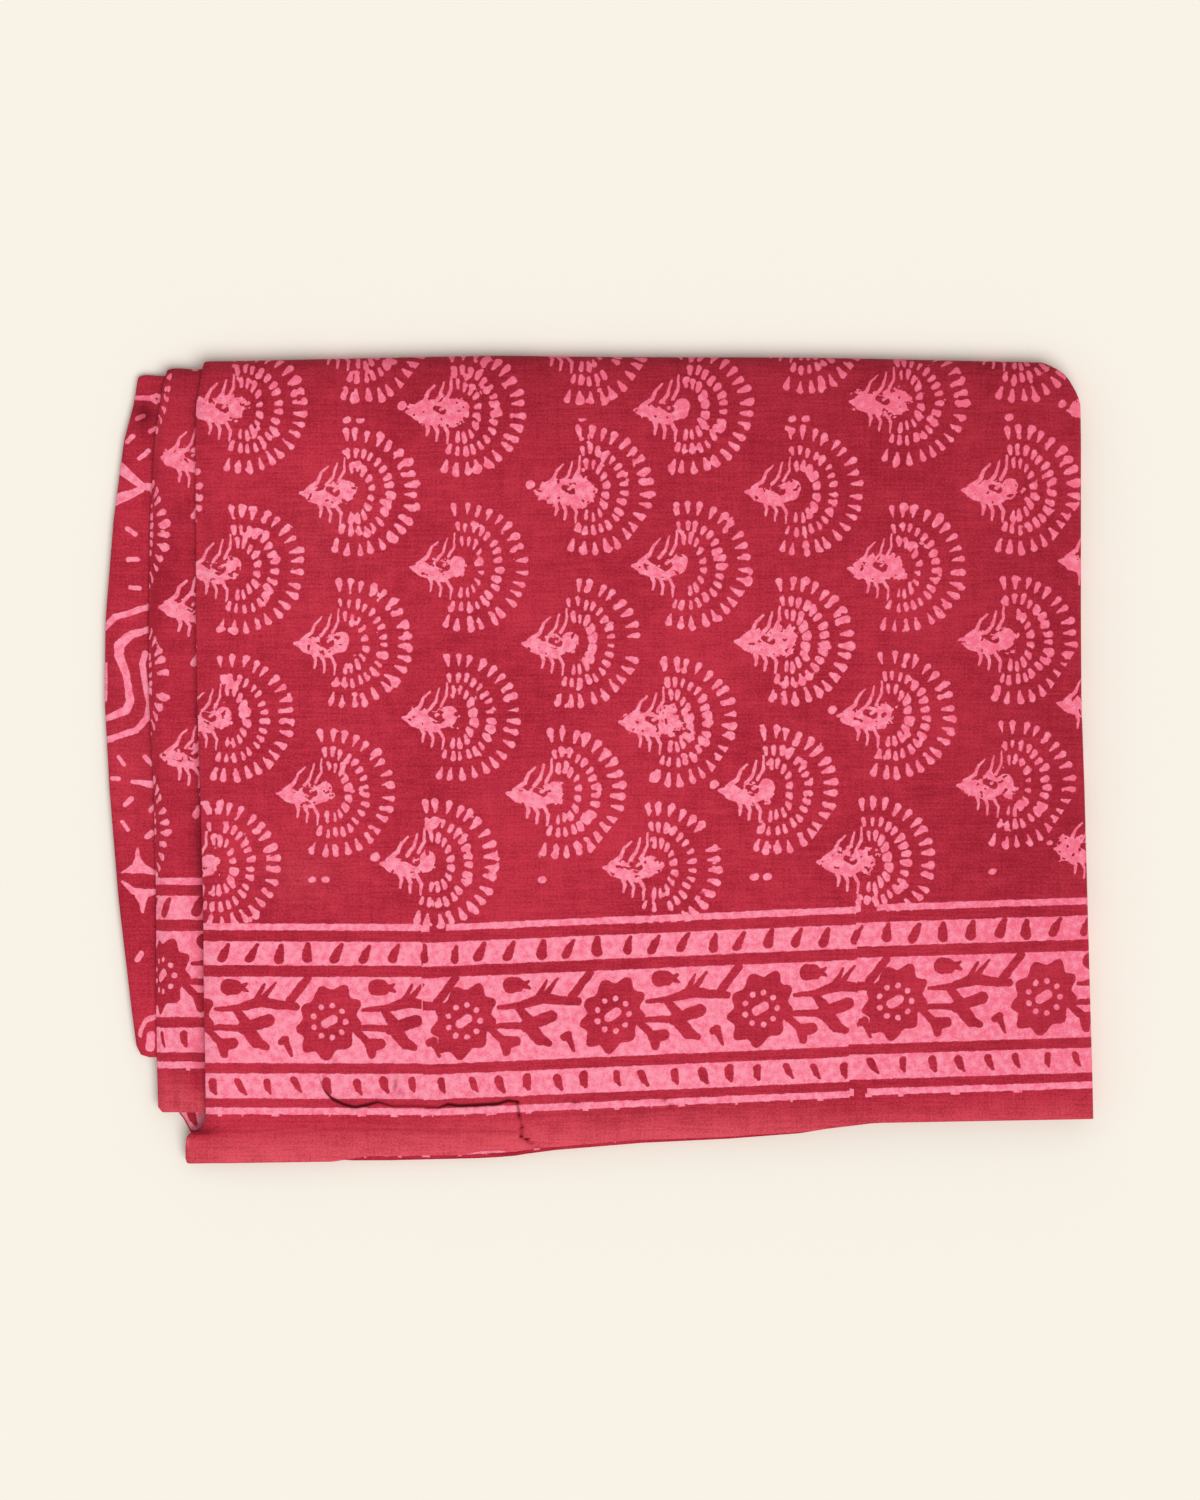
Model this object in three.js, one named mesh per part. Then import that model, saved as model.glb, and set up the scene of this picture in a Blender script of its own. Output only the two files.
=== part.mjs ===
// A block-printed cotton dress length, folded into a flat packet and lying face up.
// Sizes are in millimetres. X runs along the packet's long side, Y from the selvedges in front to
// the fold at the back, and Z is up. The origin is on the ground, under the middle of the packet.
//
// The length is folded back and forth six times along X, as three leaves of two layers, and that
// strip of folds is then doubled over at the back, so that twelve layers lie on each other. Both
// selvedges come to the front. The first layer is the uppermost and, after the doubling, the lowest.
import * as THREE from "three";

// The sheet and how closely its layers lie
const thickness = 1;
const layerPitch = 1.5;
const layersInHalf = 6;
const foldReach = 0.9;
const backFoldStretch = 1.25;

// How the layers sink past the folded edge of a leaf that has ended beneath them
const sinkLength = 10;
const sinkClearance = 1;

// How the top layers' free margin hangs down in front of the others, and how uneven the pile is
const marginSlope = 0.3;
const marginEasing = 6;
const unevenness = 0.015;

// How finely the sheet is divided
const stepsRoundFold = 6;
const stepsRoundWrap = 8;
const stepsRoundBack = 8;
const leastStep = 0.8;
const upperRows = [-222, -215, -208, -201.5, -190, -170, -143, -80, -18, 55, 136, 182, 203];
const lowerRows = [-212, -190, -143, -60, 40, 136, 203];

// The packet's back edge and the layers' front edges: one row for each line from front to back.
// Columns "first" to "sixth" are the layers of the upper half, and "under" is the lower half.
const edges = [
  { x: -240, back: 226.5, first: -231.4, second: -230.9, third: -201.8, fourth: -201.8, fifth: -170.4, sixth: -170.4, under: -222.9 },
  { x: -57, back: 230.5, first: -225.7, second: -217.2, third: -201.2, fourth: -198.9, fifth: -183.0, sixth: -185.8, under: -227.4 },
  { x: 24, back: 229.7, first: -217.7, second: -211.5, third: -201.8, fourth: -197.2, fifth: -188.7, sixth: -191.5, under: -219.5 },
  { x: 115, back: 229.3, first: -212.6, second: -206.9, third: -201.2, fourth: -196.1, fifth: -191.5, sixth: -197.2, under: -214.0 },
  { x: 157, back: 228.7, first: -207.5, second: -204.6, third: -201.2, fourth: -196.0, fifth: -193.2, sixth: -200.0, under: -206.9 },
  { x: 282, back: 226.0, first: -205.2, second: -201.8, third: -201.8, fourth: -196.0, fifth: -194.4, sixth: -205.2, under: -202.4 },
];
const layerNames = ["first", "second", "third", "fourth", "fifth", "sixth"];
const underStagger = 0.5;

// The outer edge of each fold in the upper half: one row for each line across the packet.
// The wrap is where the first layer turns round all the others on the right, down to the sixth.
const upperFolds = [
  { y: 227.4, outer: -225.6, middle: -245.7, inner: -262.1, return: 250.0, wrap: 254.2 },
  { y: 220.6, outer: -226.7, middle: -247.5, inner: -263.3, return: 252.0, wrap: 265.1 },
  { y: 212.6, outer: -228.0, middle: -249.4, inner: -264.5, return: 255.0, wrap: 270.8 },
  { y: 203.5, outer: -229.7, middle: -250.8, inner: -265.9, return: 258.5, wrap: 274.7 },
  { y: 181.8, outer: -230.3, middle: -253.9, inner: -271.6, return: 266.0, wrap: 275.0 },
  { y: 136.2, outer: -230.0, middle: -256.5, inner: -277.6, return: 270.5, wrap: 275.0 },
  { y: 79.2, outer: -230.0, middle: -257.4, inner: -282.2, return: 270.5, wrap: 275.0 },
  { y: 33.6, outer: -229.1, middle: -257.1, inner: -282.7, return: 271.0, wrap: 275.3 },
  { y: -17.7, outer: -227.4, middle: -254.5, inner: -279.9, return: 272.5, wrap: 277.0 },
  { y: -80.4, outer: -225.7, middle: -253.1, inner: -274.7, return: 274.2, wrap: 278.7 },
  { y: -143.1, outer: -225.2, middle: -253.1, inner: -267.3, return: 275.9, wrap: 280.4 },
  { y: -170.4, outer: -224.6, middle: -252.6, inner: -256.0, return: 276.6, wrap: 281.2 },
  { y: -201.5, outer: -224.0, middle: -252.0, inner: -248.0, return: 277.4, wrap: 282.0 },
  { y: -208.0, outer: -226.0, middle: -252.0, inner: -248.0, return: 277.5, wrap: 282.1 },
  { y: -222.0, outer: -232.6, middle: -252.0, inner: -248.0, return: 277.6, wrap: 282.2 },
  { y: -231.4, outer: -235.4, middle: -252.0, inner: -248.0, return: 277.8, wrap: 282.4 },
];

// The same folds in the lower half
const lowerFolds = [
  { y: 227.4, outer: -225.6, middle: -245.7, inner: -262.1, return: 250.0, wrap: 254.2 },
  { y: 216.0, outer: -226.0, middle: -247.0, inner: -263.5, return: 253.5, wrap: 268.5 },
  { y: 203.5, outer: -223.0, middle: -247.0, inner: -264.5, return: 258.0, wrap: 273.7 },
  { y: 136.0, outer: -217.0, middle: -246.0, inner: -272.0, return: 269.5, wrap: 274.0 },
  { y: 34.0, outer: -216.0, middle: -246.0, inner: -276.0, return: 269.8, wrap: 274.3 },
  { y: -80.0, outer: -215.0, middle: -243.0, inner: -267.0, return: 273.2, wrap: 277.7 },
  { y: -143.0, outer: -214.0, middle: -238.0, inner: -256.0, return: 274.9, wrap: 279.4 },
  { y: -197.0, outer: -213.0, middle: -232.0, inner: -243.5, return: 276.3, wrap: 280.8 },
  { y: -213.0, outer: -212.5, middle: -229.0, inner: -239.0, return: 276.6, wrap: 281.1 },
  { y: -227.4, outer: -212.0, middle: -227.0, inner: -237.0, return: 276.9, wrap: 281.4 },
];

// How far inside the return fold the two cut ends lie, and how deep the wrap's curve is
const fourthEndInset = 3;
const fifthEndInset = 8;
const wrapDepth = 3.5;

// The way along the cloth, from the cut end of the fourth layer to the cut end of the fifth
const route = [
  { layer: 4, start: "fourthEnd", stop: "middle" },
  { turn: "middle", from: 4, to: 3 },
  { layer: 3, start: "middle", stop: "return" },
  { turn: "return", from: 3, to: 2 },
  { layer: 2, start: "return", stop: "outer" },
  { turn: "outer", from: 2, to: 1 },
  { layer: 1, start: "outer", stop: "wrap" },
  { turn: "wrap", from: 1, to: 6 },
  { layer: 6, start: "wrap", stop: "inner" },
  { turn: "inner", from: 6, to: 5 },
  { layer: 5, start: "inner", stop: "fifthEnd" },
];

// The lines on which the layers are divided between their ends, from left to right: the foot and
// the brink of each slope where layers sink past a lower leaf, and three plain ones
const lines = [
  { leaf: "middle", shift: -sinkLength },
  { leaf: "middle", shift: 0 },
  { leaf: "outer", shift: -sinkLength },
  { leaf: "outer", shift: 0 },
  { x: -100 },
  { x: 30 },
  { x: 160 },
];
const outerLeafLines = lines.slice(2);

const { clamp, lerp } = THREE.MathUtils;

// A column of a table at a place between two of its rows
function read(table, key, at, column) {
  const rows = table[0][key] < table.at(-1)[key] ? table : table.toReversed();
  const place = clamp(at, rows[0][key], rows.at(-1)[key]);
  const next = Math.max(1, rows.findIndex((row) => row[key] >= place));
  const [low, high] = [rows[next - 1], rows[next]];
  return lerp(low[column], high[column], (place - low[key]) / (high[key] - low[key]));
}

// Which way is inward from a fold: to the right from a left-hand one, and the other way round
function inwardFrom(fold) {
  return fold === "wrap" || fold === "return" ? -1 : 1;
}

// How far a fold's curve reaches along X
function reachOf(fold) {
  return fold === "wrap" ? wrapDepth : foldReach;
}

// Where the mid-surface has its fold or its cut end, at a distance y from the middle of the packet
function foldAt(name, y, folds) {
  if (name === "fourthEnd") return read(folds, "y", y, "return") - fourthEndInset;
  if (name === "fifthEnd") return read(folds, "y", y, "return") - fifthEndInset;
  return read(folds, "y", y, name) + (inwardFrom(name) * thickness) / 2;
}

// Where a flat layer begins or ends, which is where the curve of its fold begins
function flatEndAt(name, y, folds) {
  if (name.endsWith("End")) return foldAt(name, y, folds);
  return foldAt(name, y, folds) + inwardFrom(name) * reachOf(name);
}

// The brink past which layers sink, beside a leaf of the lower half
function brinkAt(leaf, y) {
  return read(lowerFolds, "y", y, leaf) - sinkClearance;
}

// The stations along the cloth: those of a flat layer lie on lines, and those of a turn on its curve
function stationsOf(leg) {
  if (leg.turn) {
    const steps = leg.turn === "wrap" ? stepsRoundWrap : stepsRoundFold;
    return Array.from({ length: steps - 1 }, (_, i) => ({ ...leg, share: (i + 1) / steps }));
  }
  const goesRight = leg.layer % 2 === 1;
  const [left, right] = goesRight ? [leg.start, leg.stop] : [leg.stop, leg.start];
  const between = leg.layer < 3 ? outerLeafLines : lines;
  const stations = [
    { layer: leg.layer, fold: left },
    ...between.map((line, i) => ({ layer: leg.layer, line, left, order: i + 1 })),
    { layer: leg.layer, fold: right },
  ];
  return goesRight ? stations : stations.toReversed();
}

// The layer number of a station, which passes smoothly from one layer to another in a turn
function layerOf({ layer, from, to, share }) {
  return layer ?? lerp(from, to, (1 - Math.cos(Math.PI * share)) / 2);
}

// Where a station lies along X at a distance y from the middle
function placeOf(station, y, folds) {
  const { turn, share, line, left, order, fold } = station;
  if (turn) {
    return flatEndAt(turn, y, folds) - inwardFrom(turn) * reachOf(turn) * Math.sin(Math.PI * share);
  }
  if (fold) return flatEndAt(fold, y, folds);
  const onLine = line.x ?? brinkAt(line.leaf, y) + line.shift;
  return Math.max(onLine, flatEndAt(left, y, folds) + order * leastStep);
}

// The front edge of a station's layer
function frontOf(station, x, isUpper) {
  if (!isUpper) {
    return read(edges, "x", x, "under") + underStagger * (layersInHalf - layerOf(station));
  }
  const frontOfLayer = (layer) => read(edges, "x", x, layerNames[layer - 1]);
  if (station.layer) return frontOfLayer(station.layer);
  return lerp(frontOfLayer(station.from), frontOfLayer(station.to), station.share);
}

// How far a layer has sunk past the leaves of the lower half that have ended beneath it
function sinkOf(layer, x, y, isUpper) {
  const endedLeaves = ["outer", "middle"].filter((_, i) => isUpper || layer > 2 * i + 2.5);
  const shareSunk = (leaf) => clamp((brinkAt(leaf, y) - x) / sinkLength, 0, 1);
  return endedLeaves.reduce((sum, leaf) => sum + 2 * layerPitch * shareSunk(leaf), 0);
}

// How far the first two layers hang down in front of the third
function droopOf(layer, x, y) {
  const overhang = Math.max(0, read(edges, "x", x, "third") - y);
  const share = clamp((4 - layer) / 2, 0, 1);
  return (share * marginSlope * overhang ** 2) / (overhang + marginEasing);
}

// The height of the mid-surface above the ground
function heightOf(station, x, y, isUpper) {
  const layer = layerOf(station);
  const level = isUpper ? 2 * layersInHalf - layer : layer - 1;
  const droop = isUpper ? droopOf(layer, x, y) : 0;
  const rise = level * layerPitch - sinkOf(layer, x, y, isUpper) - droop;
  const swell = Math.sin(x / 61 + 0.7) * Math.cos(y / 83 - 0.4) + 0.6 * Math.sin(y / 47 + x / 120);
  return thickness / 2 + rise * (1 + unevenness * swell);
}

// A point of the mid-surface, by station along the cloth and by row across it
function midPoint(station, row) {
  const middleX = placeOf(station, 0, upperFolds);
  const highestTurn = layerPitch * (layersInHalf - 0.5);
  const fullReach = foldReach + backFoldStretch * (highestTurn - layerPitch / 2);
  const flatBack = read(edges, "x", middleX, "back") - thickness / 2 - fullReach;
  if (row.half !== "back") {
    const isUpper = row.half === "upper";
    const front = frontOf(station, middleX, isUpper) + row.order * leastStep;
    const y = row.order === row.last ? flatBack : Math.max(row.y ?? front, front);
    const x = placeOf(station, y, isUpper ? upperFolds : lowerFolds);
    return new THREE.Vector3(x, y, heightOf(station, x, y, isUpper));
  }
  const topX = placeOf(station, flatBack, upperFolds);
  const bottomX = placeOf(station, flatBack, lowerFolds);
  const top = heightOf(station, topX, flatBack, true);
  const bottom = heightOf(station, bottomX, flatBack, false);
  const radius = (top - bottom) / 2;
  const angle = Math.PI * row.share;
  const reach = foldReach + backFoldStretch * (radius - layerPitch / 2);
  const y = flatBack + reach * Math.sin(angle);
  const x = lerp(placeOf(station, y, upperFolds), placeOf(station, y, lowerFolds), row.share);
  return new THREE.Vector3(x, y, bottom + radius + radius * Math.cos(angle));
}

// The rows across the cloth, from the upper front edge round the back fold to the lower front edge
function rowsAcross() {
  const rowsOf = (half, places) => {
    const last = places.length + 1;
    return [undefined, ...places, undefined].map((y, order) => ({ half, y, order, last }));
  };
  const shares = Array.from({ length: stepsRoundBack - 1 }, (_, i) => (i + 1) / stepsRoundBack);
  const back = shares.map((share) => ({ half: "back", share }));
  return [...rowsOf("upper", upperRows), ...back, ...rowsOf("lower", lowerRows).toReversed()];
}

// The sheet's two faces, half its thickness to each side of a grid of mid-surface points
function facesOf(grid) {
  const [lastI, lastJ] = [grid.length - 1, grid[0].length - 1];
  const along = new THREE.Vector3();
  const across = new THREE.Vector3();
  const [outer, inner] = [[], []];
  for (let i = 0; i <= lastI; i += 1) {
    for (let j = 0; j <= lastJ; j += 1) {
      along.subVectors(grid[Math.min(i + 1, lastI)][j], grid[Math.max(i - 1, 0)][j]);
      across.subVectors(grid[i][Math.min(j + 1, lastJ)], grid[i][Math.max(j - 1, 0)]);
      const offset = along.clone().cross(across).setLength(thickness / 2);
      outer.push(grid[i][j].clone().add(offset));
      inner.push(grid[i][j].clone().sub(offset));
    }
  }
  return [...outer, ...inner];
}

// A closed solid from a grid of mid-surface points, with its faces joined round the four edges
function closedSheet(grid) {
  const [columns, rows] = [grid.length, grid[0].length];
  const positions = facesOf(grid).flatMap((point) => point.toArray());
  const index = [];
  const addQuad = (a, b, c, d) => index.push(a, b, c, a, c, d);
  const outer = (i, j) => i * rows + j;
  const inner = (i, j) => (columns + i) * rows + j;
  for (let i = 0; i + 1 < columns; i += 1) {
    for (let j = 0; j + 1 < rows; j += 1) {
      addQuad(outer(i, j), outer(i + 1, j), outer(i + 1, j + 1), outer(i, j + 1));
      addQuad(inner(i, j), inner(i, j + 1), inner(i + 1, j + 1), inner(i + 1, j));
    }
    addQuad(outer(i, 0), inner(i, 0), inner(i + 1, 0), outer(i + 1, 0));
    addQuad(outer(i, rows - 1), outer(i + 1, rows - 1), inner(i + 1, rows - 1), inner(i, rows - 1));
  }
  for (let j = 0; j + 1 < rows; j += 1) {
    const last = columns - 1;
    addQuad(outer(0, j), outer(0, j + 1), inner(0, j + 1), inner(0, j));
    addQuad(outer(last, j), inner(last, j), inner(last, j + 1), outer(last, j + 1));
  }
  const geometry = new THREE.BufferGeometry();
  geometry.setAttribute("position", new THREE.Float32BufferAttribute(positions, 3));
  geometry.setIndex(index);
  geometry.computeVertexNormals();
  return geometry;
}

const crimsonCotton = new THREE.MeshStandardMaterial({ color: 0xb02a42, roughness: 0.9, metalness: 0 });
const rows = rowsAcross();
const grid = route.flatMap(stationsOf).map((station) => rows.map((row) => midPoint(station, row)));
const foldedCloth = new THREE.Mesh(closedSheet(grid), crimsonCotton);
foldedCloth.name = "folded_cloth";

const dressFabric = new THREE.Group();
dressFabric.add(foldedCloth);

export default dressFabric;
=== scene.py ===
"""A crimson block-printed cotton dress length, folded into a flat packet and lying face up.

The cloth is folded back and forth along its length into three leaves of two layers, and that strip
of folds is then doubled over at the back, so both selvedges come to the front. Sizes are in
millimetres up to the point where a mesh is made; Blender's own units are metres.
"""

import logging
import math
from dataclasses import astuple, dataclass
from enum import Enum

import bpy
import numpy as np
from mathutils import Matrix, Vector


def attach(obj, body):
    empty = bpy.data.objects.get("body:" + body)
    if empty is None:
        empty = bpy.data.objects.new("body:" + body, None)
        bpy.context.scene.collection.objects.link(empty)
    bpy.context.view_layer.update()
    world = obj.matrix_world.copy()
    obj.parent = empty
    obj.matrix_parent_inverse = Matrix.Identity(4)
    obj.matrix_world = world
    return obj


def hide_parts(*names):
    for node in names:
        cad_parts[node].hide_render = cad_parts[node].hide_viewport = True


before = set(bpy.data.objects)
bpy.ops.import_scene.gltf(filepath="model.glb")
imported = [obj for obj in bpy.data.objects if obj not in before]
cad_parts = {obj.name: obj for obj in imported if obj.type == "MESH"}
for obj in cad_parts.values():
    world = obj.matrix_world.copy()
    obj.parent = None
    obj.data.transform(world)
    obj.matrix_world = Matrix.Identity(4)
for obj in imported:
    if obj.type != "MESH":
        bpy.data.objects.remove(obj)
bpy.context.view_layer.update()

LOG = logging.getLogger("dress_fabric")
MM = 0.001
PACKET = "folded_dress_cloth"
CAD_NODE = "folded_cloth"


# The shape of the packet


class Fold(Enum):
    """The places where a flat layer begins or ends."""

    OUTER = "outer"
    MIDDLE = "middle"
    INNER = "inner"
    TURNBACK = "turnback"
    WRAP = "wrap"
    FOURTH_END = "fourth_end"
    FIFTH_END = "fifth_end"

    @property
    def inward(self) -> float:
        """The way from this fold to the middle of the packet, along X."""
        return -1.0 if self in (Fold.TURNBACK, Fold.WRAP) else 1.0

    @property
    def is_cut(self) -> bool:
        """Whether it is a cut end of the cloth and no fold."""
        return self in (Fold.FOURTH_END, Fold.FIFTH_END)


@dataclass(frozen=True)
class EdgeLine:
    """Where the back edge and the layers' front edges cross one line from front to back."""

    x: float
    back: float
    first: float
    second: float
    third: float
    fourth: float
    fifth: float
    sixth: float
    under: float


@dataclass(frozen=True)
class FoldLine:
    """Where the folds' outer edges cross one line along the packet."""

    y: float
    outer: float
    middle: float
    inner: float
    turnback: float
    wrap: float


@dataclass(frozen=True)
class Run:
    """One flat layer of the cloth, and the folds or ends that it runs between."""

    layer: int
    left: Fold
    right: Fold


@dataclass(frozen=True)
class Turn:
    """A fold that leads from one layer to another."""

    fold: Fold
    start: int
    stop: int

    @property
    def printed_layer(self) -> int:
        """The odd one of its two layers, whose print is the one that runs on round the fold."""
        return self.start if self.start % 2 else self.stop


@dataclass(frozen=True)
class Station:
    """One line across the cloth: its run or turn, and how far along it, from a run's left end."""

    leg: Run | Turn
    share: float

    @property
    def layer(self) -> float:
        """Its layer, which changes smoothly from one to another in a turn."""
        if isinstance(self.leg, Run):
            return float(self.leg.layer)
        turned = (1 - math.cos(math.pi * self.share)) / 2
        return self.leg.start + (self.leg.stop - self.leg.start) * turned


@dataclass(frozen=True)
class Swell:
    """A soft rise of the pile: its place, its reach and its height."""

    x: float
    y: float
    reach: float
    rise: float


@dataclass(frozen=True)
class TuckPoint:
    """A point of the small tuck above the selvedge: the rise behind its line, the groove and painted shade
    on it.
    """

    x: float
    y: float
    rise: float
    groove: float


@dataclass(frozen=True)
class Loft:
    """How far a layer stands up beside its left-hand fold, and how much more it does in front."""

    layer: int
    height: float
    front: float


@dataclass(frozen=True)
class Spacing:
    """A stretch of evenly spaced lines, up to its end but without it."""

    start: float
    stop: float
    step: float

    def places(self) -> np.ndarray:
        """The places of its lines."""
        return np.arange(self.start, self.stop, self.step)


@dataclass(frozen=True)
class Crease:
    """A fine straight crease from one point to another, with its depth and painted shade, and its layer.
    """

    x: float
    y: float
    to_x: float
    to_y: float
    depth: float
    layer: int = 1

    def distance(self, x: np.ndarray, y: np.ndarray) -> np.ndarray:
        """How far places are from the crease's line.

        Args:
            x: Places along X.
            y: Places along Y.

        Returns:
            The distances.
        """
        along_x, along_y = self.to_x - self.x, self.to_y - self.y
        reached = (x - self.x) * along_x + (y - self.y) * along_y
        share = np.clip(reached / (along_x**2 + along_y**2), 0.0, 1.0)
        return np.hypot(x - self.x - share * along_x, y - self.y - share * along_y)


EDGES = (
    EdgeLine(-240, 226.5, -231.4, -230.9, -201.8, -201.8, -170.4, -170.4, -222.9),
    EdgeLine(-142, 228.6, -229.9, -223.6, -201.5, -200.2, -177.1, -178.6, -229.4),
    EdgeLine(-121, 229.1, -226.6, -222.0, -201.4, -199.9, -178.6, -180.4, -229.3),
    EdgeLine(-70, 230.2, -226.1, -218.2, -201.2, -199.1, -182.1, -184.7, -228.1),
    EdgeLine(-59, 230.4, -223.8, -217.4, -201.2, -198.9, -182.9, -185.6, -227.5),
    EdgeLine(-49, 230.4, -223.5, -216.6, -201.3, -198.7, -183.6, -186.4, -226.7),
    EdgeLine(-43, 230.4, -224.3, -216.2, -201.3, -198.6, -184.0, -186.8, -225.7),
    EdgeLine(-25, 230.2, -221.9, -214.9, -201.4, -198.2, -185.3, -188.1, -223.4),
    EdgeLine(24, 229.7, -217.5, -211.5, -201.8, -197.2, -188.7, -191.5, -219.4),
    EdgeLine(74, 229.5, -215.5, -209.0, -201.5, -196.6, -190.2, -194.6, -217.0),
    EdgeLine(115, 229.3, -212.9, -206.9, -201.2, -196.1, -191.5, -197.2, -213.9),
    EdgeLine(157, 228.7, -207.5, -204.6, -201.2, -196.0, -193.2, -200.0, -207.1),
    EdgeLine(282, 226.0, -205.2, -201.8, -201.8, -196.0, -194.4, -205.2, -202.4),
)
LAYER_COLUMNS = ("first", "second", "third", "fourth", "fifth", "sixth")

# Along Y: where a station's place along X is read for its two front edges and its back bend, and
# where the tuck lies on average
UPPER_FRONT = -200.0
LOWER_FRONT = -220.0
BACK_BEND = 215.0
TUCK_LINE = -197.0

UPPER_FOLDS = (
    FoldLine(-231.4, -235.2, -252.0, -248.0, 277.8, 282.4),
    FoldLine(-229.4, -236.4, -252.0, -248.0, 277.7, 282.3),
    FoldLine(-222.0, -236.2, -252.0, -248.0, 277.6, 282.2),
    FoldLine(-216.0, -235.6, -252.0, -248.0, 277.5, 282.1),
    FoldLine(-213.4, -233.2, -252.0, -248.0, 277.5, 282.1),
    FoldLine(-211.0, -228.2, -252.0, -248.0, 277.5, 282.1),
    FoldLine(-208.5, -225.0, -252.0, -248.0, 277.5, 282.1),
    FoldLine(-203.0, -224.2, -248.3, -248.0, 277.4, 282.0),
    FoldLine(-199.0, -224.2, -251.9, -248.0, 277.3, 281.9),
    FoldLine(-172.0, -224.6, -252.6, -252.0, 276.7, 281.3),
    FoldLine(-169.0, -224.6, -252.6, -262.0, 276.6, 281.2),
    FoldLine(-164.0, -224.7, -252.7, -264.5, 276.4, 281.0),
    FoldLine(-143.1, -225.2, -253.1, -267.3, 275.9, 280.4),
    FoldLine(-80.4, -225.7, -253.1, -274.7, 274.2, 278.7),
    FoldLine(-17.7, -227.4, -254.5, -279.9, 272.5, 277.0),
    FoldLine(33.6, -229.1, -257.1, -282.7, 271.0, 275.3),
    FoldLine(79.2, -230.0, -257.4, -282.2, 270.5, 275.0),
    FoldLine(136.2, -230.0, -256.5, -277.6, 270.5, 275.0),
    FoldLine(181.8, -230.3, -253.9, -271.6, 266.0, 275.0),
    FoldLine(203.5, -229.7, -250.8, -265.9, 258.5, 274.7),
    FoldLine(212.6, -228.0, -249.4, -264.5, 255.0, 270.8),
    FoldLine(220.6, -226.7, -247.5, -263.3, 252.0, 265.1),
    FoldLine(227.4, -225.6, -245.7, -262.1, 250.0, 254.2),
)

LOWER_FOLDS = (
    FoldLine(-227.4, -212.0, -227.0, -230.0, 276.9, 281.4),
    FoldLine(-213.0, -212.5, -229.0, -233.5, 276.6, 281.1),
    FoldLine(-205.0, -212.7, -230.5, -238.0, 276.4, 281.0),
    FoldLine(-199.0, -213.0, -232.0, -244.5, 276.3, 280.8),
    FoldLine(-143.0, -214.0, -238.0, -256.0, 274.9, 279.4),
    FoldLine(-80.0, -215.0, -243.0, -267.0, 273.2, 277.7),
    FoldLine(34.0, -216.0, -246.0, -276.0, 269.8, 274.3),
    FoldLine(136.0, -217.0, -246.0, -272.0, 269.5, 274.0),
    FoldLine(203.5, -223.0, -247.0, -264.5, 258.0, 273.7),
    FoldLine(216.0, -226.0, -247.0, -263.5, 253.5, 268.5),
    FoldLine(227.4, -225.6, -245.7, -262.1, 250.0, 254.2),
)

ROUTE = (
    Run(4, Fold.MIDDLE, Fold.FOURTH_END),
    Turn(Fold.MIDDLE, 4, 3),
    Run(3, Fold.MIDDLE, Fold.TURNBACK),
    Turn(Fold.TURNBACK, 3, 2),
    Run(2, Fold.OUTER, Fold.TURNBACK),
    Turn(Fold.OUTER, 2, 1),
    Run(1, Fold.OUTER, Fold.WRAP),
    Turn(Fold.WRAP, 1, 6),
    Run(6, Fold.INNER, Fold.WRAP),
    Turn(Fold.INNER, 6, 5),
    Run(5, Fold.INNER, Fold.FIFTH_END),
)

LOFTS = (Loft(1, 0.35, 0.5), Loft(3, 0.7, 0.5), Loft(5, 0.9, 0.0))

SWELLS = (
    Swell(-150, 130, 60, 1.1),
    Swell(-170, -70, 42, 0.8),
    Swell(40, 20, 110, 0.9),
    Swell(200, -60, 80, 0.7),
    Swell(120, 160, 70, 0.6),
)

TUCK = (
    TuckPoint(-300, -197.0, 0.0, 0.0),
    TuckPoint(-160, -179.0, 0.0, 0.0),
    TuckPoint(-157, -188.7, 0.9, 0.5),
    TuckPoint(-152, -193.8, 1.3, 1.0),
    TuckPoint(-146, -196.7, 1.6, 1.0),
    TuckPoint(-139, -198.6, 1.6, 1.0),
    TuckPoint(-132, -197.2, 1.5, 1.0),
    TuckPoint(-126, -195.5, 1.4, 0.7),
    TuckPoint(-118, -197.8, 1.4, 0.55),
    TuckPoint(-101, -197.8, 1.3, 0.45),
    TuckPoint(-92, -198.9, 1.2, 0.6),
    TuckPoint(-86, -196.9, 1.2, 0.95),
    TuckPoint(-80, -197.8, 1.2, 1.0),
    TuckPoint(-67, -197.2, 1.0, 1.0),
    TuckPoint(-58, -196.7, 0.9, 1.0),
    TuckPoint(-52, -194.9, 0.6, 0.9),
    TuckPoint(-46.5, -195.5, 0.3, 0.7),
    TuckPoint(-44.5, -196.0, 0.0, 0.0),
    TuckPoint(300, -197.0, 0.0, 0.0),
)

CREASES = (
    Crease(-160, -143, -151, -172, 0.25),
    Crease(-151, -172, -158, -186, 0.3),
    Crease(-46.5, -195.5, -45.6, -203.0, 0.6),
    Crease(-45.6, -203.0, -43.9, -209.8, 0.5),
    Crease(-43.9, -209.8, -44.5, -215.5, 0.7),
    Crease(-44.5, -215.5, -41.0, -217.2, 0.7),
    Crease(-41.0, -217.2, -36.5, -221.2, 0.5),
    Crease(-226, -212.0, -150, -211.0, 0.26),
    Crease(-150, -211.0, -47, -212.6, 0.34),
    Crease(-47, -203.5, 60, -198.5, 0.26),
    Crease(-115.7, -181.1, -115.7, -187.0, 0.25),
    Crease(-115.7, -187.0, -112.3, -192.0, 0.35),
    Crease(-15.4, -192.7, -12.5, -197.2, 0.5),
    Crease(37, -193.2, 41.6, -198.9, 0.5),
    Crease(-253, -184.7, -227, -184.2, 0.16, 3),
    Crease(-242.5, -192.7, -242.5, -198.4, 0.5, 3),
)


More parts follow.
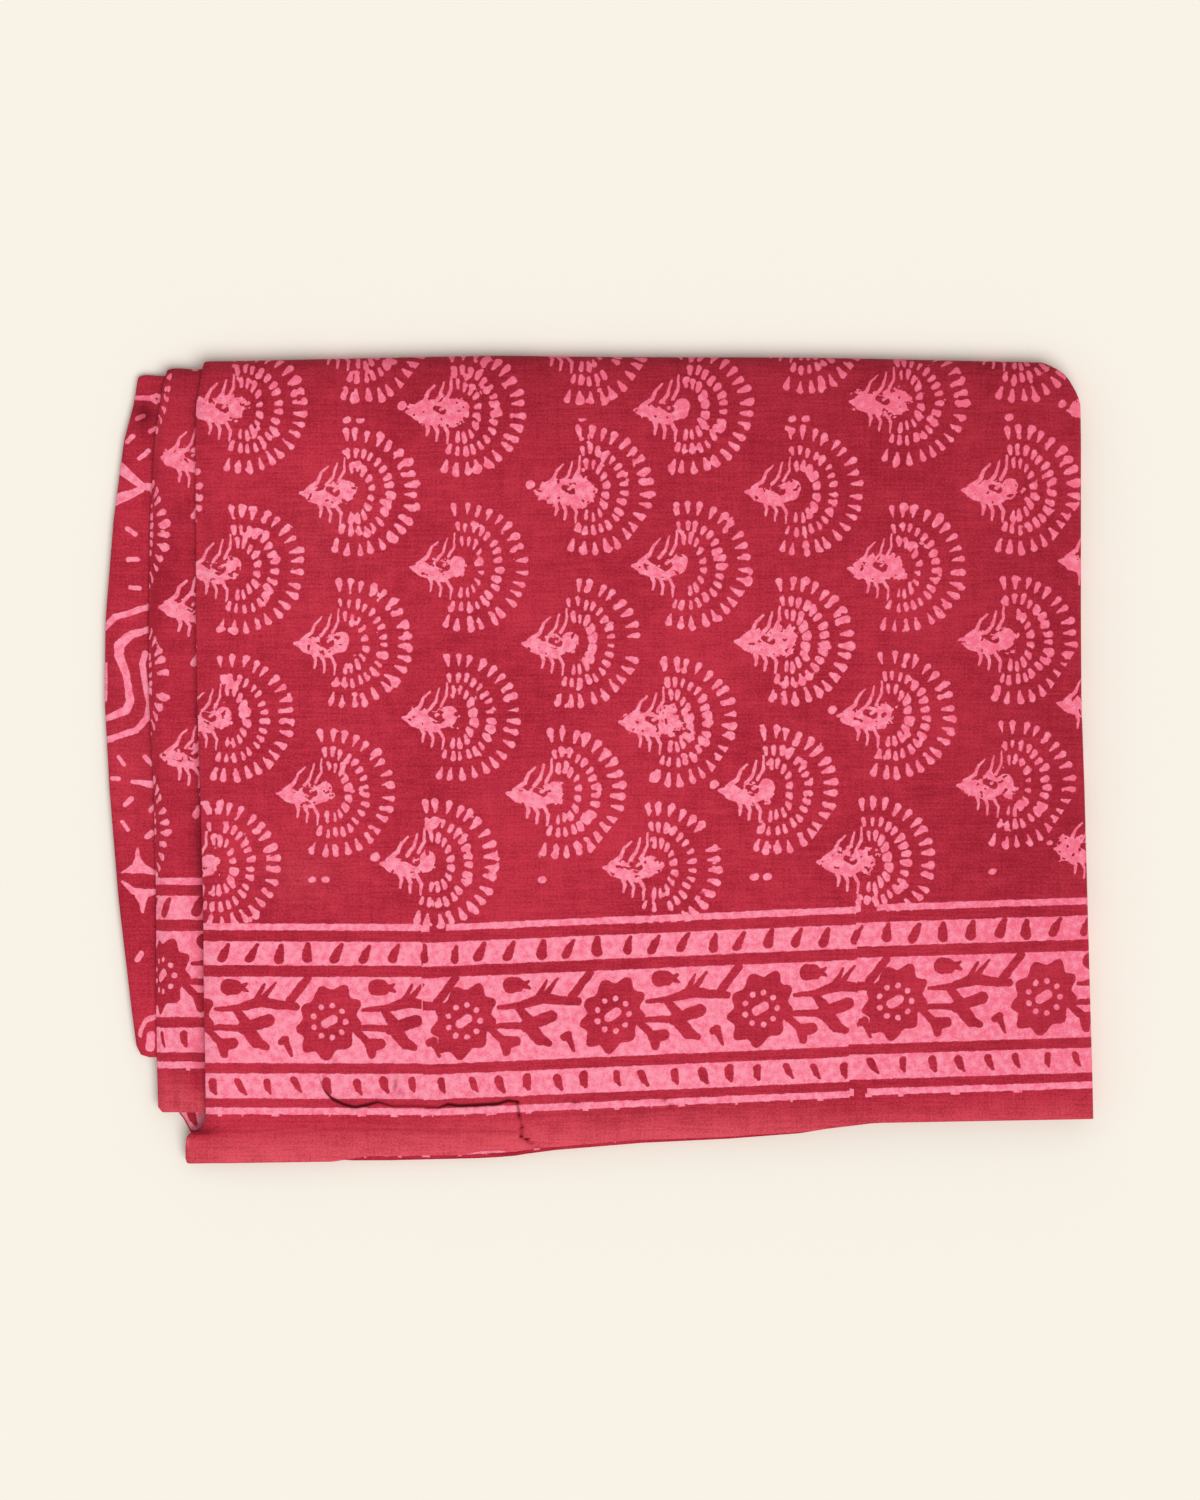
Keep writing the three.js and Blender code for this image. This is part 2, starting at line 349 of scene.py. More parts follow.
@dataclass(frozen=True)
class Patch:
    """A soft patch painted lighter, or darker if its change is negative: uneven dye in some, painted light
    and shade in others.
    """

    layer: int
    x: float
    y: float
    reach_x: float
    reach_y: float
    change: float


# Soft lighter and darker patches. Some are painted light and shade: the darker back folds, the darker
# right side, the lighter front margins, the painted shade in two hollows and the painted shadow beside the
# top leaf's left edge. The others only make the cloth lighter or darker in places.
PATCHES = (
    # Painted shade along the back fold, where the cloth turns away from the light
    Patch(1, 0, 248, 500, 42, -0.36),
    # Darker along the right side, partly painted shade
    Patch(1, 300, 40, 150, 400, -0.18),
    Patch(1, -150, 136, 42, 50, 0.12),
    Patch(1, -170, -66, 20, 16, 0.16),
    Patch(1, 60, 160, 260, 90, -0.09),
    # Lighter along the front margin: partly painted light, partly washed dye
    Patch(1, -160, -232, 130, 15, 0.62),
    Patch(1, 100, -220, 190, 18, 0.66),
    Patch(1, 270, -204, 70, 14, 0.3),
    # Painted shade in the gap at the top leaf's front left corner
    Patch(1, -227, -212.6, 9, 2.4, -1.0),
    Patch(1, -235, -218.5, 1.5, 3, 0.8),
    Patch(1, -140, -206, 100, 5, -0.12),
    Patch(1, -230, 221, 5, 6, -0.30),
    Patch(3, -242, 200, 60, 110, -0.12),
    # Lighter along the second leaf's front margin: partly painted light, partly washed dye
    Patch(3, -236, -199, 40, 16, 0.55),
    # Painted shade along the second leaf's back fold
    Patch(3, -242, 235, 60, 25, -0.28),
    # Painted shadow beside the top leaf's left edge
    Patch(3, -228.5, -70, 4, 60, -0.35),
    Patch(3, -228.5, -175, 5, 18, -0.35),
    # Painted shade in the hollow at the third leaf's back corner
    Patch(5, -260, 197, 6, 9, -0.75),
    Patch(5, -268, 20, 30, 60, 0.08),
)


def column(table: tuple, name: str) -> np.ndarray:
    """One field of a table's rows, in their order."""
    return np.array([getattr(row, name) for row in table], dtype=float)


def read(table: tuple, key: str, at: np.ndarray | float, name: str) -> np.ndarray:
    """A field of a table at places between its rows, which are sorted by another field, the key."""
    return np.interp(at, column(table, key), column(table, name))


def smooth(value: np.ndarray | float, low: float | np.ndarray, high: float | np.ndarray) -> np.ndarray:
    """A soft step, from 0 where the value is low to 1 where it is high."""
    share = np.clip((value - low) / (high - low), 0.0, 1.0)
    return share * share * (3.0 - 2.0 * share)


def quads(start: np.ndarray, stop: np.ndarray) -> np.ndarray:
    """What every face has at its four corners, from the rows of the stations on its two sides."""
    return np.stack([start[:, :-1], stop[:, :-1], stop[:, 1:], start[:, 1:]], axis=-1)


@dataclass(frozen=True)
class GridLines:
    """Where the grid has its rows along Y and its stations along X: closest at folds and at the tuck."""

    margin: Spacing = Spacing(-229.0, -204.0, 1.3)
    by_tuck: tuple = (-6, -4.6, -3.4, -2.4, -1.6, -1, -0.5, 0, 0.5, 1, 1.6, 2.4, 3.6, 5, 7)
    border: Spacing = Spacing(-186.0, -120.0, 6.0)
    field_front: float = -117.0
    field_back: float = 190.0
    field_rows: int = 41
    back: Spacing = Spacing(194.0, 214.0, 4.0)
    under: tuple = (-214.0, -206, -196, -180, -150, -110, -60, -10, 40, 90, 140, 180, 200, 208)
    past_left: tuple = (1.0, 2.2, 3.6, 5.2, 7.0, 9.0, 11.5)
    before_right: tuple = (8.0, 5.0, 2.5, 1.0)
    top_start: float = 15.0
    top_step: float = 4.0
    top: tuple = (Spacing(-166, -53, 2), Spacing(-53, -37, 1), Spacing(-36, 44, 3), Spacing(48, 262, 6))
    deeper_start: float = 14.5
    deeper_stop: float = -205.0
    deeper_step: float = 3.0
    deeper: Spacing = Spacing(-200, 250, 50)

    def upper_rows(self) -> np.ndarray:
        """The places along Y of the upper half's rows."""
        field = np.linspace(self.field_front, self.field_back, self.field_rows)
        front = [self.margin.places(), np.array(self.by_tuck) + TUCK_LINE, self.border.places()]
        return np.concatenate([*front, field, self.back.places()])

    def stations(self, layer: int, left: float, right: float) -> np.ndarray:
        """The places along X of a layer's stations, without its two ends.

        Args:
            layer: The layer's number.
            left: The place of its left end.
            right: The place of its right end.

        Returns:
            The places, not yet in order.
        """
        if layer == 1:
            stretches = (Spacing(left + self.top_start, self.top[0].start, self.top_step), *self.top)
        else:
            near = Spacing(left + self.deeper_start, self.deeper_stop, self.deeper_step)
            stretches = (near, self.deeper)
        ends = [left + np.array(self.past_left), right - np.array(self.before_right)]
        return np.concatenate([*ends, *[stretch.places() for stretch in stretches]])


@dataclass
class Grid:
    """The cloth's mid-surface: stations along the cloth by rows across it, with its print places.

    The print's own frame changes where a fold is passed, so each strip of faces between two
    stations has a layer number and its own pair of print X columns.
    """

    points: np.ndarray
    print_y: np.ndarray
    layers: np.ndarray
    start_x: np.ndarray
    stop_x: np.ndarray
    measured_row: int = 60
    measured_station: int = 200

    def steps_along(self) -> np.ndarray:
        """The lengths of the steps between stations, along one row in the middle of the field."""
        return np.linalg.norm(np.diff(self.points[:, self.measured_row], axis=0), axis=1)

    def width(self) -> float:
        """The cloth's width, along one station in the middle of the cloth."""
        return float(np.ptp(self.print_y[self.measured_station]))


@dataclass
class PacketShape:
    """The folds of the packet, worked out from a few sizes and the tables above."""

    thickness: float = 0.5
    pitch: float = 1.5
    layers: int = 6
    fold_reach: float = 0.9
    wrap_depth: float = 3.5
    back_stretch: float = 1.25
    sink_length: float = 11.0
    margin_slope: float = 0.3
    margin_easing: float = 6.0
    unevenness: float = 0.015
    under_stagger: float = 0.5
    row_gap: float = 0.25
    back_slump: float = 0.1
    loose_fold: float = 2.4
    gather: float = 7.0
    gather_width: float = 5.5
    turn_steps: int = 8
    wrap_steps: int = 12
    back_steps: int = 14
    lines: GridLines = GridLines()
    fourth_setback: float = 3.0
    fifth_setback: float = 8.0
    brink_setback: float = 0.5
    slump_start: float = 182.0
    slump_end: float = 218.0
    swell_height: float = 17.0
    loft_reach: float = 4.0
    loft_start: float = -40.0
    loft_end: float = 150.0
    lift_reach: float = 9.0
    lift_start: float = 30.0
    lift_end: float = 110.0
    tuck_hold: float = 7.0
    tuck_release: float = 35.0
    ridge_reach: float = 6.0
    groove_width: float = 0.7
    crease_width: float = 1.3
    shade_strength: float = 1.2
    shade_offset: float = 0.3
    shade_width: float = 1.05
    crease_shade_width: float = 0.9

    def shares_of(self, leg: Run | Turn) -> np.ndarray:
        """How far along a run from its left end, or round a turn, each of its stations lies.

        Args:
            leg: The run or the turn.

        Returns:
            The shares from 0 to 1, in the order in which the cloth passes them.
        """
        if isinstance(leg, Turn):
            steps = self.wrap_steps if leg.fold is Fold.WRAP else self.turn_steps
            return np.arange(steps + 1) / steps
        left = float(self.flat_end(leg.left, np.array(0.0), UPPER_FOLDS))
        right = float(self.flat_end(leg.right, np.array(0.0), UPPER_FOLDS))
        places = self.lines.stations(leg.layer, left, right)
        if leg.layer == self.layers:
            ends = [self.flat_end(f, np.array(LOWER_FRONT), LOWER_FOLDS) for f in (leg.left, leg.right)]
            corners = np.interp(column(EDGES, "x")[1:-1], ends, [left, right])
            places = np.concatenate([places, corners])
        shares = (places - left) / (right - left)
        shares = np.concatenate([[0.0], np.sort(shares), [1.0]])
        return shares if leg.layer % 2 else shares[::-1]

    def fold_at(self, fold: Fold, y: np.ndarray, table: tuple) -> np.ndarray:
        """Where the mid-surface has a fold or a cut end.

        Args:
            fold: Which one.
            y: The places along Y.
            table: The folds of the upper or the lower half.

        Returns:
            The places along X.
        """
        if fold is Fold.FOURTH_END:
            return read(table, "y", y, "turnback") - self.fourth_setback
        if fold is Fold.FIFTH_END:
            return read(table, "y", y, "turnback") - self.fifth_setback
        return read(table, "y", y, fold.value) + fold.inward * self.thickness / 2

    def reach_of(self, fold: Fold) -> float:
        """How far a fold's curve reaches along X."""
        return self.wrap_depth if fold is Fold.WRAP else self.fold_reach

    def turn_length(self, fold: Fold) -> float:
        """The length of cloth in a fold's curve, as half of an ellipse."""
        half_height = 2.5 * self.pitch if fold is Fold.WRAP else self.pitch / 2
        return math.pi * math.sqrt((half_height**2 + self.reach_of(fold) ** 2) / 2)

    def flat_end(self, fold: Fold, y: np.ndarray, table: tuple) -> np.ndarray:
        """Where the curve of a fold begins, or the cut end itself.

        Args:
            fold: The fold or the end.
            y: The places along Y.
            table: The folds of the upper or the lower half.

        Returns:
            The places along X.
        """
        if fold.is_cut:
            return self.fold_at(fold, y, table)
        return self.fold_at(fold, y, table) + fold.inward * self.reach_of(fold)

    def place(self, at: Station, y: np.ndarray, table: tuple) -> np.ndarray:
        """Where a station lies along X.

        Args:
            at: The station.
            y: The places along Y.
            table: The folds of the upper or the lower half.

        Returns:
            The places along X.
        """
        if isinstance(at.leg, Run):
            left = self.flat_end(at.leg.left, y, table)
            return left + at.share * (self.flat_end(at.leg.right, y, table) - left)
        fold = at.leg.fold
        bend = fold.inward * self.reach_of(fold) * math.sin(math.pi * at.share)
        return self.flat_end(fold, y, table) - bend

    def flat_back(self, x: float) -> float:
        """Where the layers begin to bend round the back fold, at a place along X."""
        highest = self.pitch * (self.layers - 0.5)
        reach = self.fold_reach + self.back_stretch * (highest - self.pitch / 2)
        return float(read(EDGES, "x", x, "back")) - self.thickness / 2 - reach

    def front(self, at: Station, x: float, is_upper: bool) -> float:
        """The front edge of the cloth at a station.

        Args:
            at: The station.
            x: The place along X where the station meets the front edge.
            is_upper: Whether the upper or the lower half is meant.

        Returns:
            The place along Y.
        """
        if not is_upper:
            return float(read(EDGES, "x", x, "under")) + self.under_stagger * (self.layers - at.layer)
        if isinstance(at.leg, Run):
            return float(read(EDGES, "x", x, LAYER_COLUMNS[at.leg.layer - 1]))
        start = float(read(EDGES, "x", x, LAYER_COLUMNS[at.leg.start - 1]))
        stop = float(read(EDGES, "x", x, LAYER_COLUMNS[at.leg.stop - 1]))
        return start + (stop - start) * at.share

    def sink(self, layer: float, x: np.ndarray, y: np.ndarray, is_upper: bool) -> np.ndarray:
        """How far a layer has sunk past the lower leaves that have ended beneath it.

        Args:
            layer: The layer's number.
            x: Places along X.
            y: Places along Y.
            is_upper: Whether the layer is in the upper half.

        Returns:
            The depth at each place.
        """
        total = np.zeros_like(x)
        for order, leaf in enumerate((Fold.OUTER, Fold.MIDDLE)):
            lies_beneath = is_upper or layer > 2 * order + 2.5
            if lies_beneath:
                brink = read(LOWER_FOLDS, "y", y, leaf.value) - self.brink_setback
                total += 2 * self.pitch * (1.0 - smooth(x, brink - self.sink_length, brink))
        return total

    def droop(self, layer: float, x: np.ndarray, y: np.ndarray) -> np.ndarray:
        """How far the top layers' free margin hangs down in front of the third layer.

        Args:
            layer: The layer's number.
            x: Places along X.
            y: Places along Y.

        Returns:
            The depth at each place.
        """
        overhang = np.maximum(0.0, read(EDGES, "x", x, "third") - y)
        share = float(np.clip((4 - layer) / 2, 0, 1))
        return share * self.margin_slope * overhang**2 / (overhang + self.margin_easing)

    def swell(self, x: np.ndarray, y: np.ndarray) -> np.ndarray:
        """The soft unevenness of the pile, as a share of its height.

        Args:
            x: Places along X.
            y: Places along Y.

        Returns:
            The share that is added at each place.
        """
        waves = np.sin(x / 61 + 0.7) * np.cos(y / 83 - 0.4) + 0.6 * np.sin(y / 47 + x / 120)
        total = self.unevenness * waves
        for bump in SWELLS:
            distance = ((x - bump.x) ** 2 + (y - bump.y) ** 2) / bump.reach**2
            total = total + bump.rise / self.swell_height * np.exp(-distance)
        return total

    def loft(self, layer: int, x: np.ndarray, y: np.ndarray, left: np.ndarray) -> np.ndarray:
        """How far a leaf's upper layer stands up beside its left-hand fold, which isn't pressed flat.

        Args:
            layer: The layer's number.
            x: Places along X.
            y: Places along Y.
            left: Where the leaf's fold begins, at each place.

        Returns:
            The rise at each place.
        """
        own = next(row for row in LOFTS if row.layer == layer)
        height = own.height + own.front * (1.0 - smooth(y, self.loft_start, self.loft_end))
        distance = np.maximum(x - left, 0.0) / self.loft_reach
        return height * distance * np.exp(1.0 - distance)

    def lift(self, at: Station, x: np.ndarray, y: np.ndarray) -> np.ndarray:
        """How far the top leaf's left-hand fold stands off the leaf beneath it, most of all in front.

        Args:
            at: The station.
            x: Places along X.
            y: Places along Y.

        Returns:
            The rise at each place.
        """
        if at.layer > 2:
            return np.zeros_like(x)
        front = 1.0 - smooth(y, self.lift_start, self.lift_end)
        distance = np.maximum(x - self.flat_end(Fold.OUTER, y, UPPER_FOLDS), 0.0)
        return self.loose_fold * front * np.exp(-distance / self.lift_reach)

    def tuck(self, layer: int, x: np.ndarray, y: np.ndarray) -> np.ndarray:
        """The relief of the tuck above the selvedge and of the fine creases.

        Args:
            layer: The layer's number.
            x: Places along X.
            y: Places along Y.

        Returns:
            The rise at each place.
        """
        relief = np.zeros_like(x)
        if layer == 1:
            behind = y - read(TUCK, "x", x, "y")
            fading = np.exp(-behind / self.ridge_reach) * smooth(behind, 0.0, 1.0)
            ridge = np.where(behind > 0, fading, 0.0)
            groove = np.exp(-((behind / self.groove_width) ** 2))
            relief = read(TUCK, "x", x, "rise") * ridge - read(TUCK, "x", x, "groove") * groove
        for crease in CREASES:
            if crease.layer == layer:
                away = crease.distance(x, y) / self.crease_width
                relief = relief - crease.depth * np.exp(-(away**2))
        return relief

    def crease_shade(self, layer: int, x: np.ndarray, y: np.ndarray) -> np.ndarray:
        """How much painted shade darkens the tuck and the creases, from 0 to 1.

        Args:
            layer: The layer's number.
            x: Places along X.
            y: Places along Y.

        Returns:
            The share at each place.
        """
        total = np.zeros_like(x)
        if layer == 1:
            away = (y - read(TUCK, "x", x, "y") - self.shade_offset) / self.shade_width
            total = self.shade_strength * read(TUCK, "x", x, "groove") * np.exp(-(away**2))
        for crease in CREASES:
            if crease.layer == layer:
                away = crease.distance(x, y) / self.crease_shade_width
                total = total + crease.depth * np.exp(-(away**2))
        return np.clip(total, 0.0, 1.0)

    def light_shade_and_dye(self, layer: int, x: np.ndarray, y: np.ndarray) -> np.ndarray:
        """How much lighter a place is painted, or how much darker if negative, as uneven dye and as
        painted light and shade.

        Args:
            layer: The layer's number.
            x: Places along X.
            y: Places along Y.

        Returns:
            The change at each place.
        """
        total = np.zeros_like(x)
        for patch in PATCHES:
            if patch.layer == layer:
                distance = ((x - patch.x) / patch.reach_x) ** 2 + ((y - patch.y) / patch.reach_y) ** 2
                total = total + patch.change * np.exp(-distance)
        return total

    def height(self, at: Station, x: np.ndarray, y: np.ndarray, is_upper: bool) -> np.ndarray:
        """The height of the mid-surface above the ground.

        Args:
            at: The station.
            x: Places along X.
            y: Places along Y.
            is_upper: Whether they are in the upper half.

        Returns:
            The height at each place.
        """
        leg, layer = at.leg, at.layer
        level = 2 * self.layers - layer if is_upper else layer - 1
        rise = level * self.pitch - self.sink(layer, x, y, is_upper)
        if is_upper:
            rise = rise * (1.0 - self.back_slump * smooth(y, self.slump_start, self.slump_end))
            rise = rise - self.droop(layer, x, y) + self.lift(at, x, y)
            if isinstance(leg, Run) and leg.layer % 2:
                rise = rise + self.loft(leg.layer, x, y, self.flat_end(leg.left, y, UPPER_FOLDS))
            if layer in (1, 3):
                rise = rise + self.tuck(int(layer), x, y)
        return self.thickness / 2 + rise * (1.0 + self.swell(x, y))

    def rows_of(self, at: Station, is_upper: bool) -> np.ndarray:
        """The places along Y of a station's rows in one half, from its front edge to the back.

        Args:
            at: The station.
            is_upper: Whether the upper or the lower half is meant.

        Returns:
            The places, which never pass one another.
        """
        near, table = (UPPER_FRONT, UPPER_FOLDS) if is_upper else (LOWER_FRONT, LOWER_FOLDS)
        front_x = float(self.place(at, np.array(near), table))
        back_x = float(self.place(at, np.array(BACK_BEND), UPPER_FOLDS))
        lines = self.lines.upper_rows() if is_upper else np.array(self.lines.under)
        if is_upper:
            easing = self.tuck_release - self.tuck_hold
            weight = np.clip((self.tuck_release - np.abs(lines - TUCK_LINE)) / easing, 0.0, 1.0)
            lines = lines + weight * (float(read(TUCK, "x", front_x, "y")) - TUCK_LINE)
        front = self.front(at, front_x, is_upper)
        order = np.arange(1, len(lines) + 1)
        inner = np.maximum(lines, front + order * self.row_gap)
        return np.concatenate([[front], inner, [self.flat_back(back_x)]])

    def across(self, at: Station) -> tuple[np.ndarray, np.ndarray]:
        """The mid-surface at one station along the cloth, for every row across it.

        Args:
            at: The station.

        Returns:
            The points, and the place of each row in the print, measured along the cloth.
        """
        up_y = self.rows_of(at, True)
        up_x = self.place(at, up_y, UPPER_FOLDS)
        up_z = self.height(at, up_x, up_y, True)
        down_y = self.rows_of(at, False)[::-1]
        down_x = self.place(at, down_y, LOWER_FOLDS)
        down_z = self.height(at, down_x, down_y, False)

        turned = np.arange(1, self.back_steps) / self.back_steps
        radius = (up_z[-1] - down_z[0]) / 2
        unpressed = radius / (1.0 - self.back_slump)
        reach = self.fold_reach + self.back_stretch * (unpressed - self.pitch / 2)
        round_y = up_y[-1] + reach * np.sin(math.pi * turned)
        round_z = down_z[0] + radius + radius * np.cos(math.pi * turned)
        upper_x = self.place(at, round_y, UPPER_FOLDS)
        lower_x = self.place(at, round_y, LOWER_FOLDS)
        round_x = upper_x + (lower_x - upper_x) * turned

        stretches = ((up_x, up_y, up_z), (round_x, round_y, round_z), (down_x, down_y, down_z))
        points = np.concatenate([np.column_stack(stretch) for stretch in stretches])
        steps = np.hypot(np.diff(points[:, 1]), np.diff(points[:, 2]))
        unrolled = np.concatenate([up_y, up_y[-1] + np.cumsum(steps[len(up_y) - 1 :])])
        return points, unrolled

    def gathered(self, layer: int, points: np.ndarray) -> np.ndarray:
        """A station's print X, which runs on faster where the second leaf curves down to its fold.

        Args:
            layer: The printed layer.
            points: The station's points.

        Returns:
            The print X of each point.
        """
        if layer != 3:
            return points[:, 0]
        left = self.flat_end(Fold.MIDDLE, points[:, 1], UPPER_FOLDS)
        near = np.clip(1.0 - (points[:, 0] - left) / self.gather_width, 0.0, 1.0)
        return points[:, 0] - self.gather * near**2

    def strip_places(self, leg: Run | Turn, shares: np.ndarray, points: list) -> list:
        """The print X of each station of a leg, in the frame of the leg's own print.

        Args:
            leg: The run or the turn.
            shares: The shares of its stations.
            points: The points of its stations.

        Returns:
            One column of print places for each station.
        """
        if isinstance(leg, Run):
            sign = 1.0 if leg.layer % 2 else -1.0
            return [sign * self.gathered(leg.layer, spots) for spots in points]
        starts_printed = leg.printed_layer == leg.start
        end = self.gathered(leg.printed_layer, points[0] if starts_printed else points[-1])
        passed = shares if starts_printed else 1.0 - shares
        length = self.turn_length(leg.fold)
        return [end - leg.fold.inward * share * length for share in passed]

    def build(self) -> Grid:
        """Follows the cloth from one cut end to the other.

        Returns:
            The grid of its mid-surface, with its places in the print.
        """
        points, unrolled, layers, start_x, stop_x = [], [], [], [], []
        for leg in ROUTE:
            shares = self.shares_of(leg)
            spots = [self.across(Station(leg, float(share))) for share in shares]
            places = self.strip_places(leg, shares, [point for point, _ in spots])
            start_x += places[:-1]
            stop_x += places[1:]
            printed = leg.layer if isinstance(leg, Run) else leg.printed_layer
            layers += [printed] * (len(shares) - 1)
            kept = spots if isinstance(leg, Run) else spots[1:-1]
            points += [point for point, _ in kept]
            unrolled += [row for _, row in kept]
        return Grid(
            np.array(points), np.array(unrolled), np.array(layers), np.array(start_x), np.array(stop_x)
        )


# Where the printer set the blocks


class Printed(Enum):
    """The finishes of the cloth's faces, with their places in the list of materials."""

    FIELD = 0
    BORDER = 1
    NET = 2
    REVERSE = 3


class PrintMap(Enum):
    """The maps that tell a place on a face where it lies in the cloth and in the print."""

    CLOTH = "cloth"
    EVEN_FANS = "fan even"
    ODD_FANS = "fan odd"
    BORDER = "border"
    # Painted shade in the tuck and creases, and patches that are partly painted light and shade, partly
    # uneven dye
    SHADE_AND_TONE = "wear"


@dataclass(frozen=True)
class StampColumn:
    """A column of fans on the top layer: the tips' places along X from the front row to the back."""

    first: float
    second: float
    third: float
    fourth: float


@dataclass(frozen=True)
class StampRow:
    """A row of fans on the top layer: its tips' places along Y at five even steps to the right."""

    left: float
    left_middle: float
    middle: float
    right_middle: float
    right: float


@dataclass(frozen=True)
class BlockLine:
    """One setting of the border block: where it starts, and its outer line at its two ends."""

    start: float
    left: float
    right: float


EVEN_COLUMNS = (
    StampColumn(-372.8, -364.9, -359.2, -357.4),
    StampColumn(-250.2, -242.3, -236.6, -234.8),
    StampColumn(-126.0, -113.4, -108.9, -110.8),
    StampColumn(1.1, 10.3, 17.7, 19.0),
    StampColumn(123.1, 134.5, 140.2, 141.6),
    StampColumn(258.2, 259.9, 261.1, 265.6),
    StampColumn(380.7, 382.4, 383.6, 388.0),
)
EVEN_ROWS = (
    StampRow(-61.0, -58.7, -62.1, -57.6, -50.7),
    StampRow(23.4, 23.9, 21.1, 25.1, 31.9),
    StampRow(108.3, 109.4, 110.6, 108.9, 113.4),
    StampRow(199.5, 198.2, 199.2, 204.0, 199.2),
)
ODD_COLUMNS = (
    StampColumn(-307.3, -297.6, -294.2, -290.0),
    StampColumn(-184.7, -175.0, -171.6, -167.4),
    StampColumn(-53.6, -45.0, -37.6, -40.2),
    StampColumn(67.3, 76.4, 82.1, 85.2),
    StampColumn(202.9, 204.0, 205.8, 206.6),
    StampColumn(325.0, 326.0, 328.0, 329.0),
)
ODD_ROWS = (
    StampRow(-19.4, -19.4, -19.4, -15.2, -14.4),
    StampRow(66.1, 66.1, 66.1, 68.5, 67.3),
    StampRow(151.6, 152.4, 153.6, 151.6, 155.0),
    StampRow(241.0, 238.5, 238.5, 250.3, 231.0),
)
FIRST_BLOCKS = (
    BlockLine(-346.2, -200.0, -200.9),
    BlockLine(-100.5, -201.5, -191.0),
    BlockLine(145.2, -190.0, -182.2),
)


@dataclass
class FanStamps:
    """The settings of the fan block over one layer, as two lattices with their tips half a step apart."""

    across: float = 122.6
    along: float = 85.0
    own_x: float = -252.5
    own_y: float = 87.2
    left_at: float = -227.4
    right_at: float = 262.8
    ring_centre: float = 32.0
    lowest_tip: float = -70.0
    own_columns: range = range(-4, 6)
    own_rows: range = range(-3, 8)
    first_rows: range = range(11)
    cell_half: float = 0.45
    nowhere: float = 0.4

    def first_layer(self, is_odd: bool, last: float) -> np.ndarray:
        """The stamps of the top layer, whose columns and rows were set by hand a little askew.

        Args:
            is_odd: Which of the two lattices.
            last: The highest place along the cloth that may have a tip.

        Returns:
            One row for each stamp: its tip's X and Y, and its column and row numbers.
        """
        columns, rows = (ODD_COLUMNS, ODD_ROWS) if is_odd else (EVEN_COLUMNS, EVEN_ROWS)
        stamps = []
        for number, places in enumerate(columns):
            for order in self.first_rows:
                known = min(order, len(rows) - 1)
                x = astuple(places)[known]
                tips = astuple(rows[known])
                across = np.linspace(self.left_at, self.right_at, len(tips))
                y = float(np.interp(x, across, tips)) + self.along * (order - known)
                if y < last:
                    stamps.append((x, y, number, order))
        return np.array(stamps)

    def other_layer(self, layer: int, is_odd: bool, last: float) -> np.ndarray:
        """The stamps of a hidden or half-hidden layer, on an even lattice.

        Args:
            layer: The layer's number.
            is_odd: Which of the two lattices.
            last: The highest place along the cloth that may have a tip.

        Returns:
            One row for each stamp: its tip's X and Y, and its column and row numbers.
        """
        shift_x, shift_y = (0.0, 0.0) if is_odd else (self.across / 2, -self.along / 2)
        stamps = []
        for number in self.own_columns:
            for order in self.own_rows:
                x = self.own_x + shift_x + number * self.across
                y = self.own_y + shift_y + order * self.along
                if self.lowest_tip < y < last:
                    stamps.append((x, y, 10 * layer + number, order))
        return np.array(stamps)

    def local(self, layer: int, is_odd: bool, x: np.ndarray, y: np.ndarray, last: float) -> np.ndarray:
        """Each face corner's place from the tip of its face's nearest stamp.

        Args:
            layer: The layer's number.
            is_odd: Which of the two lattices.
            x: The corners' print X, one row of four for each face.
            y: The corners' places along the cloth.
            last: The highest place along the cloth that may have a tip.

        Returns:
            Map places in metres: the place from the tip, plus the stamp's number as whole metres.
        """
        stamps = self.first_layer(is_odd, last) if layer == 1 else self.other_layer(layer, is_odd, last)
        middle_x, middle_y = x.mean(axis=-1), y.mean(axis=-1)
        gap_x = middle_x[..., None] - stamps[:, 0] - self.ring_centre
        gap_y = middle_y[..., None] - stamps[:, 1]
        nearest = stamps[np.argmin(gap_x**2 + gap_y**2, axis=-1)]
        tip, number = nearest[..., None, :2], nearest[..., None, 2:]
        places = (np.stack([x, y], axis=-1) - tip) * MM
        is_far = (np.abs(places) > self.cell_half).any(axis=(-2, -1), keepdims=True)
        return np.where(is_far, self.nowhere, places) + number


@dataclass
class BorderStamps:
    """The settings of the border block along the cloth's two selvedges."""

    length: float = 245.7
    own_start: float = -444.2
    own_line: float = -174.7
    far_margin: float = 4.4
    height: float = 112.0
    far_clear: float = 165.0
    far_number: int = 20
    layer_number: int = 40

    def local(self, layer: int, x: np.ndarray, y: np.ndarray, far_edge: np.ndarray) -> np.ndarray:
        """Each face corner's place on the border block of its own selvedge.

        Args:
            layer: The layer's number.
            x: The corners' print X, one row of four for each face.
            y: The corners' places along the cloth.
            far_edge: The far selvedge's place along the cloth, for each corner.

        Returns:
            Map places in metres: along the block plus its number, and up from its outer line.
        """
        start = FIRST_BLOCKS[0].start if layer == 1 else self.own_start
        number = np.floor((x.mean(axis=-1) - start) / self.length)[..., None]
        along = x - start - number * self.length
        line = np.full_like(x, self.own_line)
        if layer == 1:
            blocks = np.clip(number, 0, len(FIRST_BLOCKS) - 1).astype(int)
            left, right = column(FIRST_BLOCKS, "left"), column(FIRST_BLOCKS, "right")
            line = left[blocks] + (right[blocks] - left[blocks]) * along / self.length
        up = y - line
        far_up = far_edge - self.far_margin - y
        is_far = (far_up.mean(axis=-1) < up.mean(axis=-1))[..., None]
        along = np.where(is_far, self.length - along, along)
        number = np.where(is_far, number + self.far_number, number) + self.layer_number * layer
        return np.stack([along * MM + number, np.where(is_far, far_up, up) * MM], axis=-1)


# Node trees


